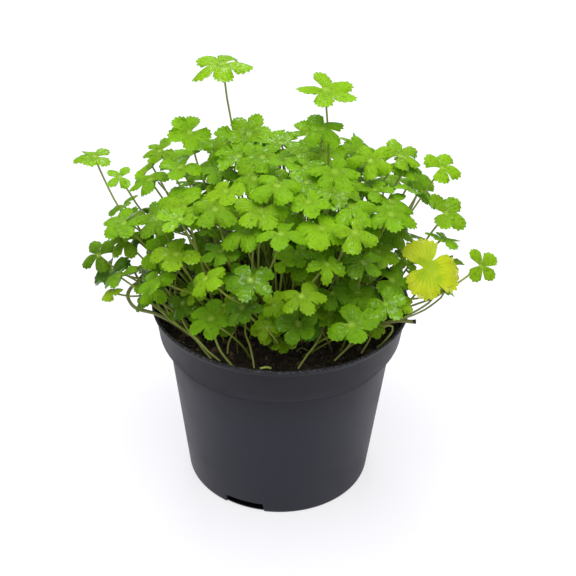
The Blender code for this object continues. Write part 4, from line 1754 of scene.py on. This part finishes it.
class ScatterTree(Growth):
    """Small lumps strewn over a guide surface, most of them nearer the smallest size than the largest."""

    BULGE_PITCH = 1.7
    BULGE = 1.3
    SIZE_POWER = 2.5
    FLATTEST = 0.45

    def __init__(self) -> None:
        """Builds the tree."""
        super().__init__("scatter")
        density, seed = self.size("Density"), self.size("Seed", "NodeSocketInt")
        small, large = self.size("Smallest"), self.size("Largest")
        stretch = self.size("Stretch")
        spots = self.out("GeometryNodeDistributePointsOnFaces", {},
                         {"Mesh": self.guide, "Density": density, "Seed": seed}, "Points")
        lump = self.out("GeometryNodeMeshIcoSphere", {}, {"Radius": 1.0, "Subdivisions": 1})
        place = self.out("GeometryNodeInputPosition")
        bend = self.out("ShaderNodeTexNoise", {}, {"Vector": place, "Scale": self.BULGE_PITCH}, "Color")
        bend = self.vector("SCALE", self.vector("SUBTRACT", bend, (0.5, 0.5, 0.5)), self.BULGE)
        lump = self.out("GeometryNodeSetPosition", {}, {"Geometry": lump, "Offset": bend})
        turn = self.out("FunctionNodeRandomValue", {"data_type": "FLOAT_VECTOR"},
                        {"Min": (0, 0, 0), "Max": (math.tau, math.tau, math.tau), "Seed": seed})
        chance = self.out("FunctionNodeRandomValue", {"data_type": "FLOAT"}, {"Seed": seed + 7.0})
        size = small + (large - small) * chance ** self.SIZE_POWER
        flat = self.out("FunctionNodeRandomValue", {"data_type": "FLOAT"},
                        {"Min_001": self.FLATTEST, "Max_001": 1.0, "Seed": seed + 13.0})
        shape = self.out("ShaderNodeCombineXYZ", {}, {"X": size * stretch, "Y": size, "Z": size * flat})
        placed = {"Points": spots, "Instance": lump, "Rotation": turn, "Scale": shape}
        self.end(self.out("GeometryNodeInstanceOnPoints", {}, placed))


@dataclass
class Strewn:
    """One kind of loose stuff on the soil."""

    name: str
    density: float
    smallest: float
    largest: float
    stretch: float
    finish: Union[PeatFinish, PlainFinish]


@dataclass
class Soil:
    """The plug of peat, with its crumbs, bits of bark and grains."""

    rings: int = 70
    sectors: int = 200
    crowding: float = 0.8
    inset: float = 0.985
    probe_height: float = 200 * MM
    lump_sizes: tuple[float, float] = (7 * MM, 1.8 * MM)
    lump_heights: tuple[float, float] = (0.75 * MM, 0.45 * MM)
    floor: float = 6.5 * MM
    wall: tuple[tuple[float, float], ...] = ((56.0, 84.6), (54.4, 77.2), (50.6, 73.4), (43.3, 7.2))
    strewn: tuple[Strewn, ...] = (
        Strewn("peat_crumbs", 330000, 0.30 * MM, 1.9 * MM, 1.2, PeatFinish("peat_crumb")),
        Strewn("bark_bits", 26000, 0.4 * MM, 2.0 * MM, 1.9,
               PlainFinish("bark", (0.200, 0.105, 0.066), (0.080, 0.046, 0.028), 0.8)),
        Strewn("pale_grains", 65000, 0.14 * MM, 0.46 * MM, 1.1,
               PlainFinish("grain", (0.60, 0.54, 0.44), (0.30, 0.24, 0.17), 0.5)),
        Strewn("root_fibres", 9000, 0.10 * MM, 0.22 * MM, 16.0,
               PlainFinish("fibre", (0.16, 0.10, 0.05), (0.08, 0.05, 0.025), 0.8)))

    def lumps(self, place: Vector) -> float:
        """Works out what crumbs and hollows add to the soil's height.

        Args:
            place: The place.

        Returns:
            The height.
        """
        coarse = noise.fractal(place / self.lump_sizes[0], 1.0, 2.1, 3)
        fine = noise.fractal(place / self.lump_sizes[1], 0.8, 2.1, 3)
        return self.lump_heights[0] * coarse + self.lump_heights[1] * fine

    def level(self, ground: BVHTree, spot: Vector) -> float:
        """The height of the packed soil just inside a place on its upper side."""
        above = Vector((spot.x * self.inset, spot.y * self.inset, spot.z))
        return ground.ray_cast(above, Vector((0, 0, -1)))[0].z

    def top(self, form: bmesh.types.BMesh, ground: BVHTree, radius: float) -> list[bmesh.types.BMVert]:
        """Makes the soil's lumpy upper side, facing up.

        Args:
            form: Takes the surface.
            ground: The packed soil.
            radius: How far it reaches.

        Returns:
            The points of its edge.
        """
        rows = []
        sectors = self.sectors
        for ring in range(1, self.rings + 1):
            reach = radius * (ring / self.rings) ** self.crowding
            row = []
            for k in range(sectors):
                angle = math.tau * k / sectors
                spot = Vector((reach * math.cos(angle), reach * math.sin(angle), self.probe_height))
                row.append(form.verts.new((spot.x, spot.y, self.level(ground, spot) + self.lumps(spot))))
            rows.append(row)
        middle = form.verts.new((0, 0, self.level(ground, Vector((0, 0, self.probe_height)))))
        for k in range(sectors):
            after = (k + 1) % sectors
            form.faces.new((middle, rows[0][k], rows[0][after]))
            for inner, outer in zip(rows, rows[1:]):
                form.faces.new((inner[k], outer[k], outer[after], inner[after]))
        return rows[-1]

    def close(self, form: bmesh.types.BMesh, edge: list[bmesh.types.BMVert]) -> None:
        """Adds the plug's wall and its flat bottom.

        Args:
            form: Takes the wall and the bottom.
            edge: The points of the upper side's edge.
        """
        sectors = len(edge)
        below = edge
        for reach, height in self.wall:
            ring = [form.verts.new((reach * MM * math.cos(math.tau * k / sectors),
                                    reach * MM * math.sin(math.tau * k / sectors), height * MM))
                    for k in range(sectors)]
            for k in range(sectors):
                after = (k + 1) % sectors
                form.faces.new((below[k], ring[k], ring[after], below[after]))
            below = ring
        bottom = form.verts.new((0, 0, self.floor))
        for k in range(sectors):
            form.faces.new((bottom, below[(k + 1) % sectors], below[k]))

    def build(self, solid: bpy.types.Object) -> None:
        """Makes the plug and everything loose on it.

        Args:
            solid: The packed soil.
        """
        form = bmesh.new()
        form.from_mesh(solid.data)
        ground = BVHTree.FromBMesh(form)
        form.free()
        plug = bmesh.new()
        edge = self.top(plug, ground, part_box("potting_soil")[1].x)
        strew_on = bpy.data.meshes.new("soil_top")
        plug.to_mesh(strew_on)
        self.close(plug, edge)
        mesh = bpy.data.meshes.new("soil_plug")
        plug.to_mesh(mesh)
        plug.free()
        mesh.shade_smooth()
        hand_over(add_piece("soil_plug", mesh, PeatFinish().make()), "soil", "potting_soil")
        tree = ScatterTree()
        for number, kind in enumerate(self.strewn):
            piece = tree.grow(kind.name, strew_on.copy(), kind.finish.make(),
                              {"Density": kind.density, "Seed": 3 + number, "Smallest": kind.smallest,
                               "Largest": kind.largest, "Stretch": kind.stretch})
            hand_over(piece, "soil")


# ------------------------------------------------------------------------------------ loose stems

@dataclass
class LooseStem:
    """A stem that lies over the rim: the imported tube's route, drawn round and fine."""

    node: str
    piece: str
    radius: float
    finish: StalkFinish
    slot: str
    swell: float = 1.0
    shift: Triple = (0.0, 0.0, 0.0)
    sides: int = 12
    steps_between_rings: int = 5
    tube_sides: int = 6
    unevenness: float = 0.08

    def route(self, solid: bpy.types.Object) -> list[Vector]:
        """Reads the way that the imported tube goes.

        Args:
            solid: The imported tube.

        Returns:
            The middles of its rings, from one end to the other.
        """
        form = bmesh.new()
        form.from_mesh(solid.data)
        bmesh.ops.remove_doubles(form, verts=form.verts, dist=MERGE)
        bmesh.ops.dissolve_limit(form, angle_limit=math.radians(1), verts=form.verts, edges=form.edges)
        caps = [face for face in form.faces if len(face.verts) == self.tube_sides]
        caps.sort(key=lambda face: face.calc_center_median().xy.length)
        ring, seen, middles = set(caps[0].verts), set(), []
        while ring:
            middles.append(middle_of(ring))
            seen |= ring
            ring = {edge.other_vert(vert) for vert in ring for edge in vert.link_edges} - seen
        form.free()
        return middles

    def build(self, solid: bpy.types.Object, stems: StemTree) -> None:
        """Makes the stem.

        Args:
            solid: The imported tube.
            stems: The tree that draws it.
        """
        route = self.route(solid)
        last = len(route) - 1
        route = [point + Vector(self.shift) * (k / last) ** 2 for k, point in enumerate(route)]
        girths = [self.radius * (1.0 + self.unevenness * math.sin(2.1 * k)) for k in range(len(route))]
        girths[-1] *= self.swell
        guide = stem_guide(self.node + "_route", [route], [girths])
        sizes = {"Sides": self.sides, "Waver": 0.0, "Steps": self.steps_between_rings * len(route)}
        piece = stems.grow(self.piece, guide, self.finish.make(), sizes)
        hand_over(piece, self.slot, self.node)


LOOSE_STEMS = (
    LooseStem("runner_left", "runner", 0.85 * MM,
              StalkFinish("runner", (0.38, 0.42, 0.14), (0.38, 0.42, 0.14), (0.36, 0.42, 0.12)), "runner"),
    LooseStem("dead_stalk", "dry_stalk", 0.80 * MM,
              StalkFinish("dry_stalk", (0.34, 0.36, 0.10), (0.42, 0.44, 0.14), (0.06, 0.030, 0.016),
                          roughness=0.7, turn=(0.86, 0.93)),
              "dry_stalk", swell=1.35, shift=(-3.8 * MM, 0.0, 6.6 * MM)))


@dataclass
class StrayStems:
    """Thin stems that lie about the foot of the plant: some over the rim, some fallen across the peat."""

    radius: float = 0.52 * MM
    waver: float = 2.5 * MM
    sides: int = 7
    steps: int = 18
    seed: int = 41
    litter: int = 70
    litter_reach: float = 46 * MM
    litter_length: tuple[float, float] = (14, 30)
    litter_rise: tuple[float, float] = (5, 26)
    litter_limit: float = 48 * MM
    litter_height: float = 89 * MM
    litter_radius: float = 0.7
    green: StalkFinish = StalkFinish(
        "stray_stem", (0.50, 0.56, 0.14), (0.44, 0.54, 0.10), (0.36, 0.44, 0.06))
    brown: StalkFinish = StalkFinish(
        "fallen_stem", (0.16, 0.13, 0.04), (0.20, 0.19, 0.05), (0.13, 0.15, 0.03), 0.7)
    routes: tuple[tuple[Triple, ...], ...] = (
        ((-26, -46, 89.2), (-34, -42, 94.5), (-42, -34, 99.3), (-47, -20, 107), (-47, -6, 112)),
        ((-20, -50, 88.8), (-25, -47, 94), (-29, -42, 100), (-32, -36, 105), (-35, -28, 111)),
        ((-11, -50, 88.6), (-13, -45, 95.5), (-15, -40, 101), (-15, -34, 108)),
        ((-23, -40, 89), (-22, -38, 95), (-19, -35, 101), (-17, -32, 107)),
        ((-33, -36, 89), (-42, -33, 96), (-50, -27, 99), (-56, -17, 102), (-57, -6, 107), (-54, 4, 113)),
        ((-36, -22, 89), (-47, -24, 96), (-55, -19, 99.5), (-61, -13, 98.5), (-61, -7, 101), (-55, -3, 104)),
        ((-40, -14, 89), (-50, -15, 96), (-57, -11, 99.0), (-64, -6, 103), (-69, 0, 109)),
        ((-30, -44, 89), (-38, -38, 95.5), (-46, -30, 98), (-52, -22, 103), (-53, -12, 109)),
        ((-44, -20, 89), (-48, -20, 96), (-50, -17, 103), (-49, -10, 110)),
        ((38, -20, 89), (50, -18, 93.2), (58, -17, 95.0), (62, -16, 96.0), (67.7, -15, 99.7),
         (72.6, -13, 103.6), (73.8, -11, 106.8), (71, -7, 112)),
        ((36, -27, 89), (48, -23, 95), (57, -20, 97.4), (63, -18, 100), (69, -15, 105), (71, -11, 110)),
        ((-8.2, -57.2, 93.6), (-6, -57.6, 94.1), (-3.6, -57.6, 94.0)),
        ((40, -14, 89), (49, -18, 97), (56, -20, 103), (60, -20, 109), (63, -18, 115)),
        ((30, -34, 89), (40, -33, 96), (47, -31, 99.5), (50, -30, 97.6), (47, -33, 93), (43, -35, 90)),
        ((24, -44, 89), (30, -42, 96), (34, -38, 102), (36, -33, 109)),
        ((8, -50, 88.6), (12, -47, 94), (17, -43, 100), (20, -38, 107)),
        ((36, -38, 89), (40, -34, 95), (41, -28, 101), (40, -22, 108)))

    def fallen(self, rng: random.Random) -> list[Vector]:
        """Lays one stem that has fallen over in the middle of the plant.

        Args:
            rng: The source of chance.

        Returns:
            The stem's points.
        """
        angle, turn = rng.uniform(0, math.tau), rng.uniform(-1.3, 1.3)
        reach = self.litter_reach * math.sqrt(rng.uniform(0.25, 1))
        start = Vector((math.cos(angle) * reach, math.sin(angle) * reach, self.litter_height))
        heading = Vector((math.cos(angle + turn), math.sin(angle + turn), 0)) * rng.uniform(-1, 1)
        length, rise = rng.uniform(*self.litter_length) * MM, rng.uniform(*self.litter_rise) * MM
        points = [start + heading * length * t + Vector((0, 0, rise * math.sin(2.2 * t)))
                  for t in (0, 0.25, 0.5, 0.75, 1.0)]
        for point in points:
            beyond = point.xy.length / self.litter_limit
            if beyond > 1:
                point.xy = point.xy / beyond
        return points

    def build(self, stems: StemTree) -> None:
        """Makes the stems.

        Args:
            stems: The tree that draws them.
        """
        rng = random.Random(self.seed)
        stray = [[Vector(point) * MM for point in route] for route in self.routes]
        fallen = [self.fallen(rng) for _ in range(self.litter)]
        for name, routes, radius, finish in (
                ("stray_stems", stray, self.radius, self.green),
                ("fallen_stems", fallen, self.radius * self.litter_radius, self.brown)):
            girths = [[radius * rng.uniform(0.85, 1.1)] * len(route) for route in routes]
            guide = stem_guide(name + "_routes", routes, girths)
            piece = stems.grow(name, guide, finish.make(),
                               {"Sides": self.sides, "Waver": self.waver, "Steps": self.steps})
            hand_over(piece, "runner")


# ------------------------------------------------------------------------------------------ studio

@dataclass(frozen=True)
class Lamp:
    """One square soft light: where it hangs, the length of its side and its power in watts."""

    name: str
    place: Triple
    size: float
    power: float


@dataclass
class Studio:
    """The white floor, the soft lights and the camera."""

    aim: Vector = field(default_factory=lambda: Vector((0, 0, 98.3 * MM)))
    distance: float = 571.2 * MM
    elevation: float = 31.9
    roll: float = 0.97
    lens: float = 76.9
    shift: tuple[float, float] = (0.0124, 0.0011)
    floor_size: float = 12.0
    floor_colour: Colour = (0.375, 0.375, 0.425)
    shade_colour: Colour = (0.015, 0.015, 0.018)
    floor_lift: float = 0.68
    shade_edge: tuple[float, float] = (42.3 * MM, 43.2 * MM)
    sky: float = 0.32
    lamps: tuple[Lamp, ...] = (
        Lamp("top_light", (-0.04, -0.22, 1.35), 1.2, 15.4), Lamp("back_light", (-0.10, 0.95, 1.15), 0.6, 5.2),
        Lamp("front_light", (0.15, -1.3, 1.0), 0.9, 1.8))

    def camera(self) -> None:
        """Places the camera in front of the pot, looking down on it."""
        angle = math.radians(self.elevation)
        back = Vector((0, -math.cos(angle), math.sin(angle)))
        lens = bpy.data.cameras.new("camera")
        lens.lens = self.lens
        lens.sensor_width = 36
        lens.clip_start, lens.clip_end = 0.01, 50
        lens.shift_x, lens.shift_y = self.shift
        camera = bpy.data.objects.new("camera", lens)
        bpy.context.scene.collection.objects.link(camera)
        turn = back.to_track_quat("Z", "Y").to_matrix().to_4x4()
        camera.matrix_world = (Matrix.Translation(self.aim + back * self.distance) @ turn
                               @ Matrix.Rotation(math.radians(self.roll), 4, "Z"))
        bpy.context.scene.camera = camera

    def floor(self) -> None:
        """Lays a white floor that keeps the pot's shadow, with a painted shadow inside the foot ring, where
        it is dark and gets no lift.
        """
        half = self.floor_size / 2
        mesh = bpy.data.meshes.new("floor")
        mesh.from_pydata([(-half, -half, 0), (half, -half, 0), (half, half, 0), (-half, half, 0)], [],
                         [(0, 1, 2, 3)])
        recipe = Recipe("floor")
        away = recipe.vector("LENGTH", recipe.place, output="Value")
        # Painted shadow: dark and without lift inside the foot ring, under the pot.
        outside = away.softly(*self.shade_edge)
        colour = recipe.blend(self.shade_colour, self.floor_colour, outside)
        plain = recipe.out("ShaderNodeBsdfDiffuse", {}, {"Color": colour})
        path = recipe.node("ShaderNodeLightPath")
        seen = Wire(recipe, path.outputs["Is Camera Ray"])
        for other in ("Is Glossy Ray", "Is Transmission Ray"):
            seen = seen.sum("MAXIMUM", Wire(recipe, path.outputs[other]))
        strength = seen * outside * self.floor_lift
        lift = recipe.out("ShaderNodeEmission", {}, {"Color": (1.0, 1.0, 1.0), "Strength": strength})
        both = recipe.node("ShaderNodeAddShader")
        recipe.feed(both.inputs[0], plain)
        recipe.feed(both.inputs[1], lift)
        add_piece("floor", mesh, recipe.finish(Wire(recipe, both.outputs[0])))

    def world(self) -> None:
        """Surrounds the pot with even white light."""
        world = bpy.data.worlds.new("studio")
        world.use_nodes = True
        graph = Graph(world.node_tree)
        path = graph.node("ShaderNodeLightPath")
        seen = Wire(graph, path.outputs["Is Camera Ray"])
        light = graph.out("ShaderNodeBackground", {}, {"Color": (1.0, 1.0, 1.0),
                                                       "Strength": seen * (1 - self.sky) + self.sky})
        graph.node("ShaderNodeOutputWorld", {}, {"Surface": light})
        bpy.context.scene.world = world

    def hang(self, lamp: Lamp) -> None:
        """Hangs a lamp so that it faces the plant.

        Args:
            lamp: The lamp.
        """
        light = bpy.data.lights.new(lamp.name, "AREA")
        light.size = lamp.size
        light.energy = lamp.power
        made = bpy.data.objects.new(lamp.name, light)
        bpy.context.scene.collection.objects.link(made)
        facing = (Vector(lamp.place) - self.aim).to_track_quat("Z", "Y").to_matrix().to_4x4()
        made.matrix_world = Matrix.Translation(lamp.place) @ facing

    def build(self) -> None:
        """Sets up the whole studio."""
        self.camera()
        self.floor()
        self.world()
        for lamp in self.lamps:
            self.hang(lamp)
        bpy.context.scene.view_settings.view_transform = "Standard"


def main() -> None:
    """Builds the pot, the soil, the plant and the studio."""
    logging.basicConfig(level=logging.INFO, format="%(message)s")
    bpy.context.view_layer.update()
    nodes = frame["nodes"]
    Pot().build()
    Soil().build(nodes["potting_soil"])
    stems = StemTree()
    for stem in LOOSE_STEMS:
        stem.build(nodes[stem.node], stems)
    StrayStems().build(stems)
    Foliage().build(nodes, stems)
    Studio().build()


if __name__ == "__main__":
    main()
